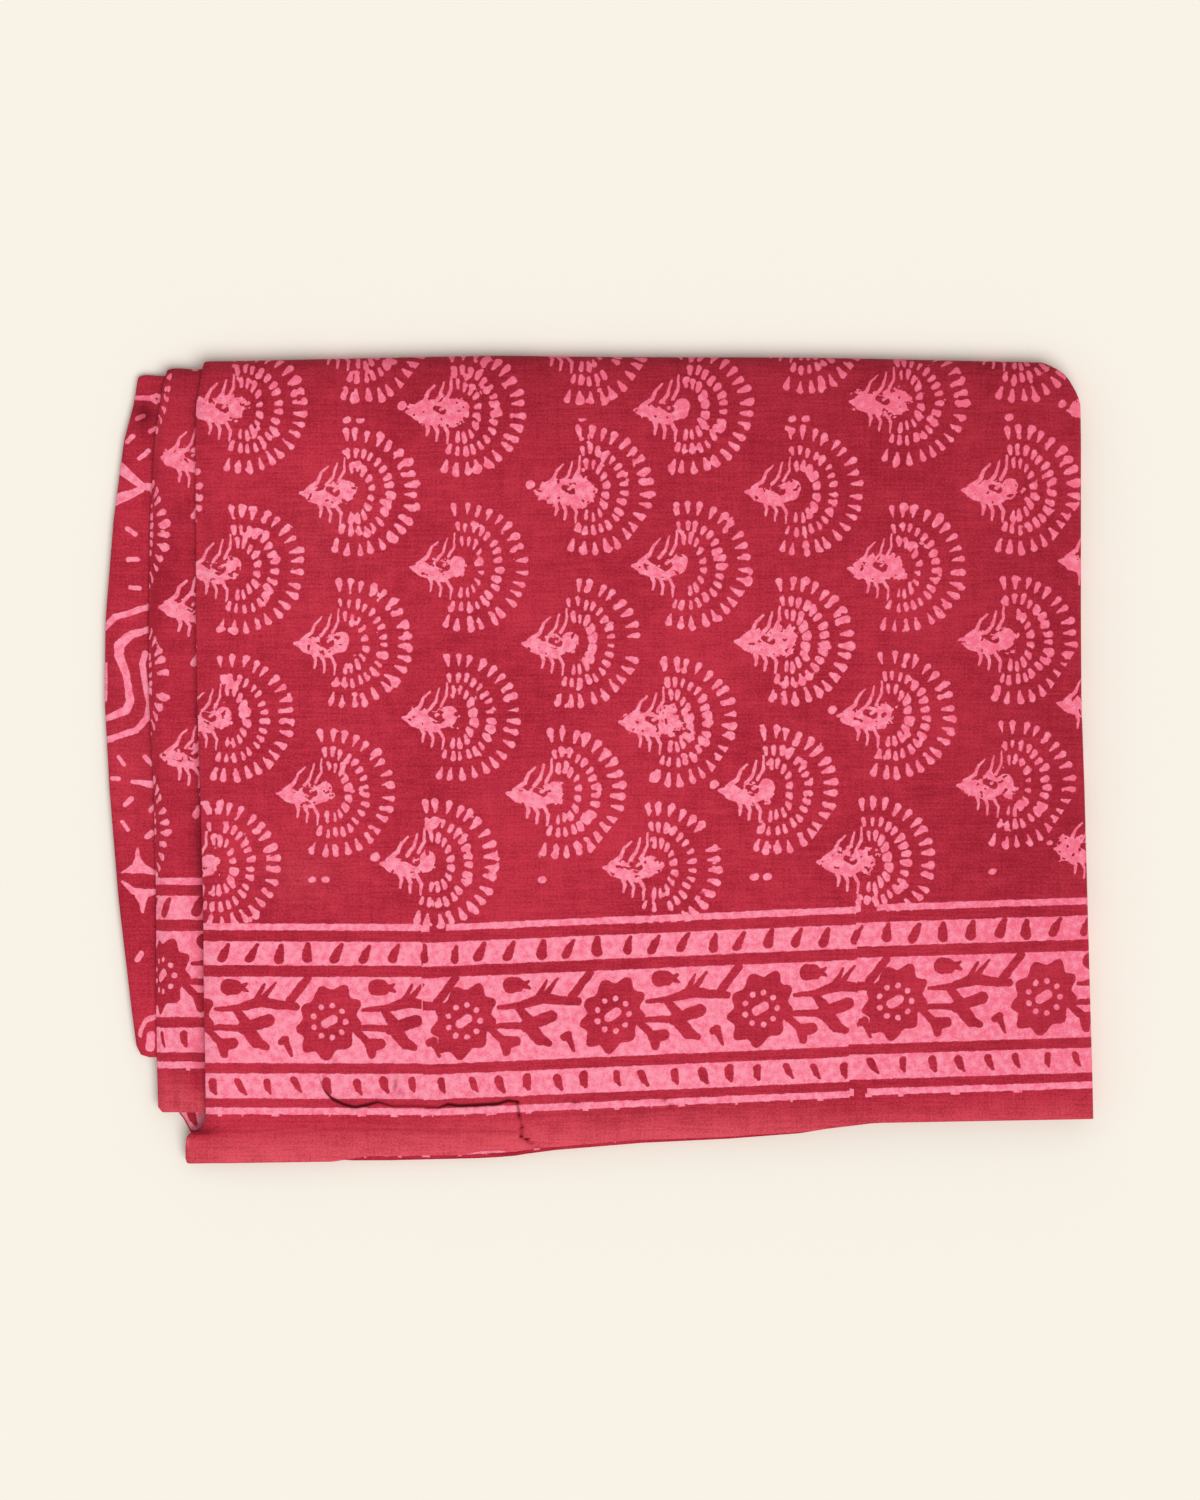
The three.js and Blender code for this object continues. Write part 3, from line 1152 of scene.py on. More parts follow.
@dataclass(frozen=True)
class Signal:
    """A number that a node gives, with the arithmetic that adds further nodes."""

    sketch: "NodeSketch"
    socket: bpy.types.NodeSocket

    def __add__(self, other: "Signal | float") -> "Signal":
        """The sum of this and another."""
        return self.sketch.math("ADD", self, other)

    __radd__ = __add__

    def __sub__(self, other: "Signal | float") -> "Signal":
        """This less another."""
        return self.sketch.math("SUBTRACT", self, other)

    def __rsub__(self, other: float) -> "Signal":
        """A plain number less this."""
        return self.sketch.math("SUBTRACT", other, self)

    def __mul__(self, other: "Signal | float") -> "Signal":
        """The product of this and another."""
        return self.sketch.math("MULTIPLY", self, other)

    __rmul__ = __mul__

    def __neg__(self) -> "Signal":
        """This with the other sign."""
        return self.sketch.math("MULTIPLY", self, -1.0)

    def at_least(self, other: "Signal | float") -> "Signal":
        """The greater of this and another."""
        return self.sketch.math("MAXIMUM", self, other)

    def at_most(self, other: "Signal | float") -> "Signal":
        """The lesser of this and another."""
        return self.sketch.math("MINIMUM", self, other)

    def size(self) -> "Signal":
        """This without its sign."""
        return self.sketch.math("ABSOLUTE", self)

    def soft(self, low: float, high: float) -> "Signal":
        """A soft step from 0 where this is low to 1 where it is high."""
        node = self.sketch.add("ShaderNodeMapRange", interpolation_type="SMOOTHSTEP", clamp=True)
        self.sketch.feed(node.inputs["Value"], self)
        node.inputs["From Min"].default_value = low
        node.inputs["From Max"].default_value = high
        return Signal(self.sketch, node.outputs["Result"])


@dataclass(frozen=True)
class Stroke:
    """A mark that tapers from one round end to another, with half its width at each."""

    x: float
    y: float
    to_x: float
    to_y: float
    width: float
    to_width: float


@dataclass(frozen=True)
class Grain:
    """Chance unevenness of one size: its waves in a metre along X and Y, its seed and its strength."""

    across: float
    along: float
    seed: float
    detail: float = 1.0
    strength: float = 1.0


class NodeSketch:
    """Adds nodes to one material's tree and links them."""

    seed_step = 7.3

    def __init__(self, tree: bpy.types.NodeTree) -> None:
        """Starts on a node tree."""
        self.tree = tree

    def add(self, kind: str, **settings: object) -> bpy.types.Node:
        """Adds one node.

        Args:
            kind: The node's type.
            settings: Its own settings by name.

        Returns:
            The node.
        """
        node = self.tree.nodes.new(kind)
        for name, value in settings.items():
            setattr(node, name, value)
        return node

    def feed(self, socket: bpy.types.NodeSocket, value: object) -> None:
        """Links a signal or an output to a socket, or writes a plain value into it.

        Args:
            socket: The input that is fed.
            value: The signal, the output or the plain value.
        """
        if isinstance(value, Signal):
            value = value.socket
        if isinstance(value, bpy.types.NodeSocket):
            self.tree.links.new(value, socket)
        elif isinstance(value, (int, float)) and socket.type == "VECTOR":
            socket.default_value = (value, value, value)
        else:
            socket.default_value = value

    def math(self, operation: str, *values: object) -> Signal:
        """One step of arithmetic on numbers."""
        node = self.add("ShaderNodeMath", operation=operation)
        for socket, value in zip(node.inputs, values):
            self.feed(socket, value)
        return Signal(self, node.outputs[0])

    def vector(self, operation: str, *values: object) -> bpy.types.NodeSocket:
        """One step of arithmetic on vectors, as the node's output that holds the result."""
        node = self.add("ShaderNodeVectorMath", operation=operation)
        for socket, value in zip(node.inputs, values):
            self.feed(socket, value)
        is_number = operation in ("DOT_PRODUCT", "DISTANCE", "LENGTH")
        return node.outputs["Value" if is_number else "Vector"]

    def number(self, operation: str, *values: object) -> Signal:
        """A step on vectors that gives a plain number."""
        return Signal(self, self.vector(operation, *values))

    def join(self, x: object, y: object, z: object = 0.0) -> bpy.types.NodeSocket:
        """A vector from three numbers."""
        node = self.add("ShaderNodeCombineXYZ")
        for socket, value in zip(node.inputs, (x, y, z)):
            self.feed(socket, value)
        return node.outputs[0]

    def split(self, vector: bpy.types.NodeSocket) -> tuple[Signal, Signal, Signal]:
        """The three numbers of a vector."""
        node = self.add("ShaderNodeSeparateXYZ")
        self.feed(node.inputs[0], vector)
        return tuple(Signal(self, socket) for socket in node.outputs)

    def chosen(self, share: Signal, first: object, second: object, kind: str) -> bpy.types.NodeSocket:
        """A blend of two values, all of the second where the share is 1.

        Args:
            share: How much of the second there is.
            first: The value at 0.
            second: The value at 1.
            kind: VECTOR or RGBA.

        Returns:
            The output with the blend.
        """
        node = self.add("ShaderNodeMix", data_type=kind)
        sockets = [s for s in node.inputs if s.type == kind and s.enabled]
        factor = next(s for s in node.inputs if s.name == "Factor" and s.type == "VALUE" and s.enabled)
        self.feed(factor, share)
        self.feed(sockets[0], first)
        self.feed(sockets[1], second)
        return next(s for s in node.outputs if s.type == kind and s.enabled)

    def map_place(self, name: PrintMap) -> bpy.types.NodeSocket:
        """The place in one of the mesh's maps, in metres."""
        return self.add("ShaderNodeUVMap", uv_map=name.value).outputs[0]

    def noise(self, place: object, grain: Grain) -> Signal:
        """Soft noise about 0, which reaches about half its strength to either side.

        Args:
            place: Where it is read, in metres.
            grain: Its size, its seed, how many finer waves it has and its strength.

        Returns:
            The noise.
        """
        node = self.add("ShaderNodeTexNoise", noise_dimensions="3D")
        scale, shift = (grain.across, grain.along, 0.0), (0.0, 0.0, grain.seed * self.seed_step)
        self.feed(node.inputs["Vector"], self.vector("MULTIPLY_ADD", place, scale, shift))
        node.inputs["Scale"].default_value = 1.0
        node.inputs["Detail"].default_value = grain.detail
        return (Signal(self, node.outputs[0]) - 0.5) * grain.strength

    def chance(self, place: object, index: object) -> tuple[Signal, Signal, Signal]:
        """Three chance numbers from 0 to 1 for a place and an index."""
        node = self.add("ShaderNodeTexWhiteNoise", noise_dimensions="4D")
        self.feed(node.inputs["Vector"], place)
        self.feed(node.inputs["W"], index)
        return self.split(node.outputs["Color"])

    def stroke(self, place: bpy.types.NodeSocket, mark: Stroke) -> Signal:
        """How far inside a tapering mark a place is, negative outside it.

        Args:
            place: The place, as a vector.
            mark: The mark, in the same units.

        Returns:
            The depth.
        """
        along_x, along_y = mark.to_x - mark.x, mark.to_y - mark.y
        square = along_x**2 + along_y**2
        start = -(mark.x * along_x + mark.y * along_y) / square
        reach = self.number("DOT_PRODUCT", place, (along_x / square, along_y / square, 0.0))
        share = self.add("ShaderNodeMath", operation="ADD", use_clamp=True)
        self.feed(share.inputs[0], reach)
        share.inputs[1].default_value = start
        passed = Signal(self, share.outputs[0])
        moved = self.vector("MULTIPLY_ADD", passed, (-along_x, -along_y, 0.0), place)
        distance = self.number("DISTANCE", moved, (mark.x, mark.y, 0.0))
        width = self.math("MULTIPLY_ADD", passed, mark.to_width - mark.width, mark.width)
        return width - distance

    def strokes(self, place: bpy.types.NodeSocket, marks: tuple) -> Signal:
        """How far inside the nearest of several marks a place is."""
        fields = [self.stroke(place, mark) for mark in marks]
        total = fields[0]
        for field in fields[1:]:
            total = total.at_least(field)
        return total


# The printed figures, in millimetres


@dataclass(frozen=True)
class PetalRing:
    """A ring of petals or dots round the middle of a fan, squeezed along Y and opening to the right.

    A share's two values are the chance number, or the side, where it begins and where it is full.
    """

    count: int
    first_angle: float
    last_angle: float
    squeeze: float
    radius: float
    to_radius: float
    width: float
    to_width: float
    merging: float
    seed: float
    swing: float = 0.055
    push: float = 1.2
    ink_change: float = 0.5
    lost_share: tuple = (0.012, 0.0)
    lost_depth: float = 3.0
    wet_seed: float = 30.5
    wet_share: tuple = (0.3, 0.8)
    wet_side: tuple = (0.3, 0.95)

    def field(self, sketch: NodeSketch, place: object, stamp: object) -> Signal:
        """How far inside the ring's nearest petal a place is.

        Args:
            sketch: Where the nodes go.
            place: The place from the ring's middle.
            stamp: The stamp's number.

        Returns:
            The depth, negative outside the petals.
        """
        x, y, _ = sketch.split(sketch.vector("MULTIPLY", place, (1.0, self.squeeze, 1.0)))
        pitch = math.radians((self.last_angle - self.first_angle) / (self.count - 1))
        turn = sketch.math("ARCTAN2", y, x)
        order = sketch.math("ROUND", (turn - math.radians(self.first_angle)) * (1 / pitch))
        order = order.at_least(0.0).at_most(self.count - 1.0)
        swing, push, ink = sketch.chance(stamp, order + self.seed)
        angle = order * pitch + math.radians(self.first_angle) + (swing - 0.5) * self.swing
        cosine, sine = sketch.math("COSINE", angle), sketch.math("SINE", angle)
        along = x * cosine + y * sine - (push - 0.5) * self.push
        across = y * cosine - x * sine
        petal = Stroke(self.radius, 0.0, self.to_radius, 0.0, self.width, self.to_width)
        depth = sketch.stroke(sketch.join(along, across), petal) + (ink - 0.5) * self.ink_change
        lost = ink.soft(*self.lost_share) * self.lost_depth
        wet, _, _ = sketch.chance(stamp, self.seed + self.wet_seed)
        return depth - lost + wet.soft(*self.wet_share) * cosine.soft(*self.wet_side) * self.merging


OUTER_PETALS = PetalRing(19, -107, 99, 1.0, 29.8, 35.0, 0.6, 1.85, 0.15, 3.1)
MIDDLE_DOTS = PetalRing(17, -109, 101, 0.87, 18.4, 21.0, 0.9, 1.4, 0.35, 41.3)
INNER_DOTS = PetalRing(10, -100, 98, 0.66, 8.6, 10.6, 0.8, 1.2, 0.6, 77.7)
FAN_BODY = (
    Stroke(1.6, -0.3, 8.4, -1.3, 0.9, 4.4),
    Stroke(8.4, -1.3, 15.0, -4.6, 4.4, 3.3),
    Stroke(15.0, -4.6, 20.5, -6.6, 3.3, 2.2),
    Stroke(20.5, -5.8, 26.4, -3.0, 1.9, 2.4),
    Stroke(27.6, -1.2, 28.4, 2.0, 4.2, 4.4),
)
FAN_FLOOD = Stroke(9.0, -0.4, 27.5, 0.2, 3.2, 6.0)
FAN_WHISKERS = (
    Stroke(5.6, 1.6, 11.2, 5.8, 1.3, 1.1),
    Stroke(11.2, 5.8, 13.4, 11.0, 1.1, 0.8),
    Stroke(13.4, 11.0, 17.2, 14.6, 0.8, 0.5),
    Stroke(16.6, 4.2, 20.2, 8.4, 1.0, 0.9),
    Stroke(20.2, 8.4, 22.4, 16.4, 0.9, 0.5),
    Stroke(23.2, 6.0, 26.4, 12.0, 0.9, 0.8),
    Stroke(26.4, 12.0, 26.6, 19.4, 0.8, 0.5),
    Stroke(12.2, -5.8, 13.6, -9.6, 1.3, 1.0),
    Stroke(13.6, -9.6, 12.8, -14.0, 1.0, 0.6),
    Stroke(16.8, -7.2, 18.8, -11.6, 1.2, 0.9),
    Stroke(18.8, -11.6, 18.2, -16.8, 0.9, 0.6),
    Stroke(21.4, -6.4, 24.8, -12.4, 1.0, 0.9),
    Stroke(24.8, -12.4, 24.2, -18.2, 0.9, 0.5),
)
FAN_EYE = Stroke(17.6, 1.6, 21.8, 0.0, 1.7, 2.3)
FAN_PUPIL = Stroke(20.6, 0.9, 22.8, 2.3, 0.9, 0.8)
BEAK_DOT = Stroke(-1.9, 2.9, -1.2, 3.4, 2.2, 2.2)
CORNER_DOTS = (Stroke(20.6, -49.6, 21.8, -49.2, 1.7, 1.8), Stroke(27.4, 41.0, 28.6, 41.4, 1.7, 1.8))


@dataclass(frozen=True)
class FanFigure:
    """One fan: a beaked body with whiskers, inside three rings of petals that open to the right.

    A share's two values are the noise, or the chance number, where it begins and where it is full.
    """

    centre: float = 32.0
    rings: tuple = (OUTER_PETALS, MIDDLE_DOTS, INNER_DOTS)
    odd_number: float = 0.37
    stamp_seed: float = 0.5
    ink_change: float = 0.3
    blots: Grain = Grain(210, 210, 5, 2.0, 18.0)
    flood_gain: float = 2.8
    flood_loss: float = 6.5
    flood_depth: float = 2.5
    specks: Grain = Grain(250, 250, 6)
    speck_share: tuple = (0.1, 0.24)
    speck_depth: float = 3.4
    body_depth: float = 1.4
    bleeding: Grain = Grain(130, 130, 21)
    bleed_share: tuple = (0.07, 0.22)
    bleed_depth: float = 1.5
    beak_dot_share: tuple = (0.18, 0.2)
    beak_dot_loss: float = 6.0
    corner_rows: tuple = (0, 2)
    corner_step: float = 7.6

    def nearer(self, sketch: NodeSketch, warp: object) -> tuple:
        """The place from the nearer fan's tip, in millimetres, and that fan's number.

        Args:
            sketch: Where the nodes go.
            warp: The small shift, in metres, by which the hand-cut edges wander.

        Returns:
            Both, as vectors.
        """
        middle = (self.centre * MM, 0.0, 0.0)
        places, numbers, gaps = [], [], []
        for name, own in ((PrintMap.EVEN_FANS, 0.0), (PrintMap.ODD_FANS, self.odd_number)):
            place = sketch.map_place(name)
            number = sketch.vector("FLOOR", sketch.vector("ADD", place, (0.5, 0.5, 0.0)))
            local = sketch.vector("SUBTRACT", place, number)
            places.append(sketch.vector("ADD", local, warp))
            numbers.append(sketch.vector("ADD", number, (own, own, own)))
            gaps.append(sketch.number("DISTANCE", local, middle))
        is_odd = sketch.math("LESS_THAN", gaps[1], gaps[0])
        local = sketch.chosen(is_odd, places[0], places[1], "VECTOR")
        stamp = sketch.chosen(is_odd, numbers[0], numbers[1], "VECTOR")
        return sketch.vector("MULTIPLY", local, (1 / MM, 1 / MM, 0.0)), stamp

    def body(self, sketch: NodeSketch, local: object, cloth: object, flooded: Signal) -> Signal:
        """How far inside the beaked body a place is, with the dye that flooded it and its specks.

        Args:
            sketch: Where the nodes go.
            local: The place from the fan's tip.
            cloth: The place on the cloth.
            flooded: The fan's chance number for how little it was flooded.

        Returns:
            The depth, negative outside the body.
        """
        flood = sketch.stroke(local, FAN_FLOOD) + sketch.noise(cloth, self.blots)
        flood = (flood - flooded * self.flood_loss + self.flood_gain).at_most(self.flood_depth)
        eye = sketch.stroke(local, FAN_EYE).at_most(-sketch.stroke(local, FAN_PUPIL))
        specks = sketch.noise(cloth, self.specks).soft(*self.speck_share) * self.speck_depth
        body = sketch.strokes(local, FAN_BODY).at_least(flood).at_most(-eye)
        return body.at_most(self.body_depth - specks)

    def field(self, sketch: NodeSketch, warp: object, cloth: object) -> Signal:
        """How far inside the print of the nearer fan a place is.

        Args:
            sketch: Where the nodes go.
            warp: The small shift, in metres, by which the hand-cut edges wander.
            cloth: The place on the cloth.

        Returns:
            The depth in millimetres, negative outside the print.
        """
        local, stamp = self.nearer(sketch, warp)
        inked, flooded, dotted = sketch.chance(stamp, self.stamp_seed)
        field = self.body(sketch, local, cloth, flooded).at_least(sketch.strokes(local, FAN_WHISKERS))
        lost = dotted.soft(*self.beak_dot_share) * self.beak_dot_loss
        field = field.at_least(sketch.stroke(local, BEAK_DOT) - lost)
        field = field.at_least(self.corner_dots(sketch, local, stamp))
        ring_place = sketch.vector("SUBTRACT", local, (self.centre, 0.0, 0.0))
        bleed = sketch.noise(cloth, self.bleeding).soft(*self.bleed_share) * self.bleed_depth
        for ring in self.rings:
            field = field.at_least(ring.field(sketch, ring_place, stamp) + bleed)
        return field + (inked - 0.5) * self.ink_change

    def corner_dots(self, sketch: NodeSketch, local: object, stamp: object) -> Signal:
        """The small dots that the block's corners leave beside two rows of the odd fans.

        Every second column has a single dot, and the others have a pair.

        Args:
            sketch: Where the nodes go.
            local: The place from the fan's tip.
            stamp: The stamp's number, as its column and its row.

        Returns:
            The depth, negative outside the dots.
        """
        far_out = 9.0
        cutoff = 900.0
        number, row, _ = sketch.split(stamp)
        is_double = sketch.math("PINGPONG", sketch.math("FLOOR", number), 1.0)
        second = sketch.vector("ADD", local, (-self.corner_step, 0.0, 0.0))
        depths = []
        for at_row, dot in zip(self.corner_rows, CORNER_DOTS):
            pair = sketch.stroke(second, dot) + (is_double - 1.0) * far_out
            pair = pair.at_least(sketch.stroke(local, dot))
            depths.append(pair - (row - (at_row + self.odd_number)).size() * cutoff)
        return depths[0].at_least(depths[1])


FLOWER_STEMS = (
    Stroke(26.8, 19.6, 29.8, 19.6, 4.8, 4.4),
    Stroke(31.4, 18.0, 37.0, 21.4, 2.8, 0.8),
    Stroke(31.4, 20.4, 37.4, 17.4, 2.6, 0.9),
    Stroke(19.5, 6.9, 31.9, 7.6, 1.2, 2.1),
    Stroke(31.9, 7.6, 45.6, 11.4, 2.1, 3.4),
    Stroke(45.6, 11.4, 54.7, 9.6, 3.4, 2.6),
    Stroke(54.7, 9.6, 65.0, 8.6, 2.6, 2.3),
    Stroke(43.0, 13.0, 47.0, 21.0, 1.9, 0.8),
    Stroke(47.0, 14.0, 53.5, 22.0, 1.8, 0.8),
    Stroke(61.6, 11.5, 71.8, 24.5, 2.6, 2.4),
    Stroke(31.4, 6.0, 37.0, -1.1, 2.3, 3.0),
    Stroke(15.0, -4.0, 21.1, -3.4, 1.4, 1.8),
    Stroke(21.1, -3.4, 35.0, -4.0, 1.8, 2.2),
    Stroke(35.0, -4.0, 49.6, 0.6, 3.5, 3.6),
    Stroke(38.2, -5.7, 43.0, -12.0, 3.8, 3.6),
    Stroke(43.0, -12.0, 48.5, -14.6, 3.4, 2.0),
    Stroke(14.5, -4.4, 22.0, -11.8, 2.0, 2.3),
    Stroke(23.8, -13.2, 29.2, -12.6, 3.7, 3.2),
    Stroke(23.8, -13.2, 24.2, -18.6, 3.7, 2.4),
    Stroke(57.0, -11.4, 59.2, -10.4, 2.2, 2.4),
    Stroke(59.2, -10.8, 62.6, -19.4, 2.3, 1.0),
)
FLOWER_EYE = Stroke(-2.2, -1.2, 2.2, 1.3, 2.6, 2.6)


@dataclass(frozen=True)
class Band:
    """A straight stretch of the border: its middle and half its width."""

    centre: float
    half: float

    def field(self, place: Signal) -> Signal:
        """How far inside the stretch a place is."""
        return self.half - (place - self.centre).size()


@dataclass(frozen=True)
class DashRow:
    """A row of dashes in the border: where it lies, and the marks of one dash."""

    centre: float
    offset: float
    seed: float
    marks: tuple
    pitch: float = 16.38
    swing: float = 3.0
    lift: float = 1.6
    lean: float = 0.55
    lean_seed: float = 0.25
    ink_change: float = 0.7

    def field(self, sketch: NodeSketch, along: Signal, up: Signal, block: object) -> Signal:
        """How far inside the row's nearest dash a place is.

        Args:
            sketch: Where the nodes go.
            along: The place along the block.
            up: The place up from the block's outer line.
            block: The block's number.

        Returns:
            The depth, negative outside the dashes.
        """
        order = sketch.math("FLOOR", (along - self.offset) * (1 / self.pitch) + 0.5)
        swing, lift, ink = sketch.chance(block, order + self.seed)
        lean, _, _ = sketch.chance(block, order + self.seed + self.lean_seed)
        y = up - self.centre + (lift - 0.5) * self.lift
        x = along - self.offset - order * self.pitch + (swing - 0.5) * self.swing
        x = x + y * (lean - 0.5) * self.lean
        return sketch.strokes(sketch.join(x, y), self.marks) + (ink - 0.5) * self.ink_change


@dataclass(frozen=True)
class FlowerDisc:
    """The head of the border's flower: a dark lobed disc with a ring of pale dots round a pale eye."""

    radius: float = 17.4
    lobes: float = 9.0
    lobe_depth: float = 1.7
    lobe_turn: float = 0.9
    lean: float = 0.16
    squeeze_x: float = 1.02
    squeeze_y: float = 0.86
    dots: float = 9.0
    dot_ring: float = 9.3
    dot_radius: float = 1.6

    def dark(self, sketch: NodeSketch, place: object) -> Signal:
        """How far inside the dark disc a place is.

        Args:
            sketch: Where the nodes go.
            place: The place from the disc's middle.

        Returns:
            The depth, negative outside it.
        """
        x, y, _ = sketch.split(place)
        leaned = x - y * self.lean
        radius = sketch.number("LENGTH", sketch.join(leaned * self.squeeze_x, y * self.squeeze_y))
        turn = sketch.math("ARCTAN2", y, leaned)
        wave = sketch.math("COSINE", turn * self.lobes + self.lobe_turn)
        return wave * self.lobe_depth + self.radius - radius

    def pale(self, sketch: NodeSketch, place: object) -> Signal:
        """How far inside the pale dots or the pale eye a place is.

        Args:
            sketch: Where the nodes go.
            place: The place from the disc's middle.

        Returns:
            The depth, negative outside them.
        """
        x, y, _ = sketch.split(place)
        step = math.tau / self.dots
        angle = sketch.math("ROUND", sketch.math("ARCTAN2", y, x) * (1 / step)) * step
        cosine, sine = sketch.math("COSINE", angle), sketch.math("SINE", angle)
        dot = sketch.join(cosine * self.dot_ring, sine * self.dot_ring)
        dots = self.dot_radius - sketch.number("DISTANCE", sketch.join(x, y), dot)
        return dots.at_least(sketch.stroke(place, FLOWER_EYE))


OUTER_LINE = Band(0.0, 1.9)
TOP_LINE = Band(104.9, 1.9)
PALE_BANDS = (Band(14.25, 7.1), Band(51.9, 24.6), Band(89.8, 6.8))
OUTER_GAP = Band(3.8, 3.8)
TOP_GAP = Band(8.6, 4.7)
LOWER_DASHES = DashRow(
    14.25, 11.6, 0.5, (Stroke(-0.9, 2.8, 0.0, -1.0, 2.3, 2.0), Stroke(0.0, -1.0, 1.5, -3.6, 1.9, 1.0))
)
UPPER_DASHES = DashRow(
    89.8, 1.4, 60.5, (Stroke(-0.9, -2.6, 0.0, 1.2, 2.8, 2.3), Stroke(0.0, 1.2, 1.4, 4.8, 2.2, 1.3))
)


@dataclass(frozen=True)
class BorderFigure:
    """The border block: two thin lines, two rows of dashes and a row of flowers between them."""

    length: float = 245.7
    flowers: tuple = (23.6, 108.4, 192.6)
    flower_up: float = 51.0
    disc: FlowerDisc = FlowerDisc()
    disc_since: float = -35.0
    stems_since: float = 11.0
    gap_closing: float = 9.0
    speck_pitch: float = 17.0
    speck_seed: float = 90.5
    speck_line: Band = Band(-1.9, 1.1)
    speck_start: float = 0.3
    speck_play: float = 0.4
    speck_half: float = 4.0
    speck_loss: float = 3.0

    def from_flower(self, sketch: NodeSketch, along: Signal, up: Signal, since: float) -> object:
        """The place from the middle of the flower that a part of the block belongs to.

        Args:
            sketch: Where the nodes go.
            along: The place along the block.
            up: The place up from the block's outer line.
            since: Where a flower's own part begins, along from its middle.

        Returns:
            The place from the flower's middle.
        """
        middles = (self.flowers[-1] - self.length, *self.flowers)
        passed = along - middles[0]
        for before, after in zip(middles, middles[1:]):
            passed = passed - sketch.math("GREATER_THAN", along, after + since) * (after - before)
        return sketch.join(passed, up - self.flower_up)

    def field(self, sketch: NodeSketch, warp: object) -> Signal:
        """How far inside the border's pale print a place is.

        Args:
            sketch: Where the nodes go.
            warp: The small shift, in metres, by which the hand-cut edges wander.

        Returns:
            The depth in millimetres, negative outside the print.
        """
        x, y, _ = sketch.split(sketch.map_place(PrintMap.BORDER))
        block = sketch.math("FLOOR", x)
        warp_x, warp_y, _ = sketch.split(warp)
        along = (x - block + warp_x) * (1 / MM)
        up = (y + warp_y) * (1 / MM)
        number = sketch.join(block, 0.5, 0.5)

        is_odd = sketch.math("PINGPONG", block, 1.0)
        pale = OUTER_LINE.field(up).at_most(is_odd * self.gap_closing - OUTER_GAP.field(along))
        pale = pale.at_least(TOP_LINE.field(up).at_most(-TOP_GAP.field(along)))
        for band in PALE_BANDS:
            pale = pale.at_least(band.field(up))

        dark = LOWER_DASHES.field(sketch, along, up, number)
        dark = dark.at_least(UPPER_DASHES.field(sketch, along, up, number))
        head = self.from_flower(sketch, along, up, self.disc_since)
        dark = dark.at_least(self.disc.dark(sketch, head))
        stems = self.from_flower(sketch, along, up, self.stems_since)
        dark = dark.at_least(sketch.strokes(stems, FLOWER_STEMS))
        pale = pale.at_most(-dark).at_least(self.disc.pale(sketch, head))
        return pale.at_least(self.specks(sketch, along, up, number))

    def specks(self, sketch: NodeSketch, along: Signal, up: Signal, block: object) -> Signal:
        """The few pale specks that the resist has left close to the selvedge.

        Args:
            sketch: Where the nodes go.
            along: The place along the block.
            up: The place up from the block's outer line.
            block: The block's number.

        Returns:
            The depth, negative outside the specks.
        """
        order = sketch.math("FLOOR", along * (1.0 / self.speck_pitch))
        place, length, share = sketch.chance(block, order + self.speck_seed)
        middle = (order + self.speck_start + place * self.speck_play) * self.speck_pitch
        reach = length * self.speck_half - share * self.speck_loss - (along - middle).size()
        return self.speck_line.field(up).at_most(reach)


@dataclass(frozen=True)
class Knot:
    """A place that a line of the print passes, with half its width there."""

    x: float
    y: float
    half: float


def chain(*knots: Knot) -> tuple:
    """The strokes of a line through several knots."""
    pairs = zip(knots, knots[1:])
    return tuple(Stroke(a.x, a.y, b.x, b.y, a.half, b.half) for a, b in pairs)


NET_WAVES = (
    *chain(Knot(0.8, 246.2, 1.8), Knot(6.0, 251.9, 1.8), Knot(15.7, 254.8, 1.8), Knot(25.9, 258.2, 1.7)),
    *chain(Knot(25.9, 245.1, 1.8), Knot(15.7, 242.2, 2.3), Knot(8.8, 236.0, 2.9), Knot(8.8, 230.3, 2.6)),
    *chain(Knot(8.8, 230.3, 2.6), Knot(12.8, 218.9, 2.0), Knot(15.1, 204.6, 2.3), Knot(12.8, 198.9, 2.4)),
    *chain(Knot(12.8, 198.9, 2.4), Knot(0.8, 193.8, 1.7)),
    *chain(Knot(23.6, 231.4, 1.8), Knot(21.9, 224.6, 1.8), Knot(24.2, 210.3, 1.8), Knot(25.9, 203.5, 1.8)),
    *chain(Knot(25.9, 203.5, 1.8), Knot(24.8, 194.4, 1.8), Knot(18.5, 187.5, 1.8), Knot(2.0, 181.8, 1.8)),
    *chain(Knot(29.9, 23.9, 1.4), Knot(24.2, 21.7, 1.4), Knot(21.4, 16.5, 1.3), Knot(20.8, 13.1, 1.1)),
)
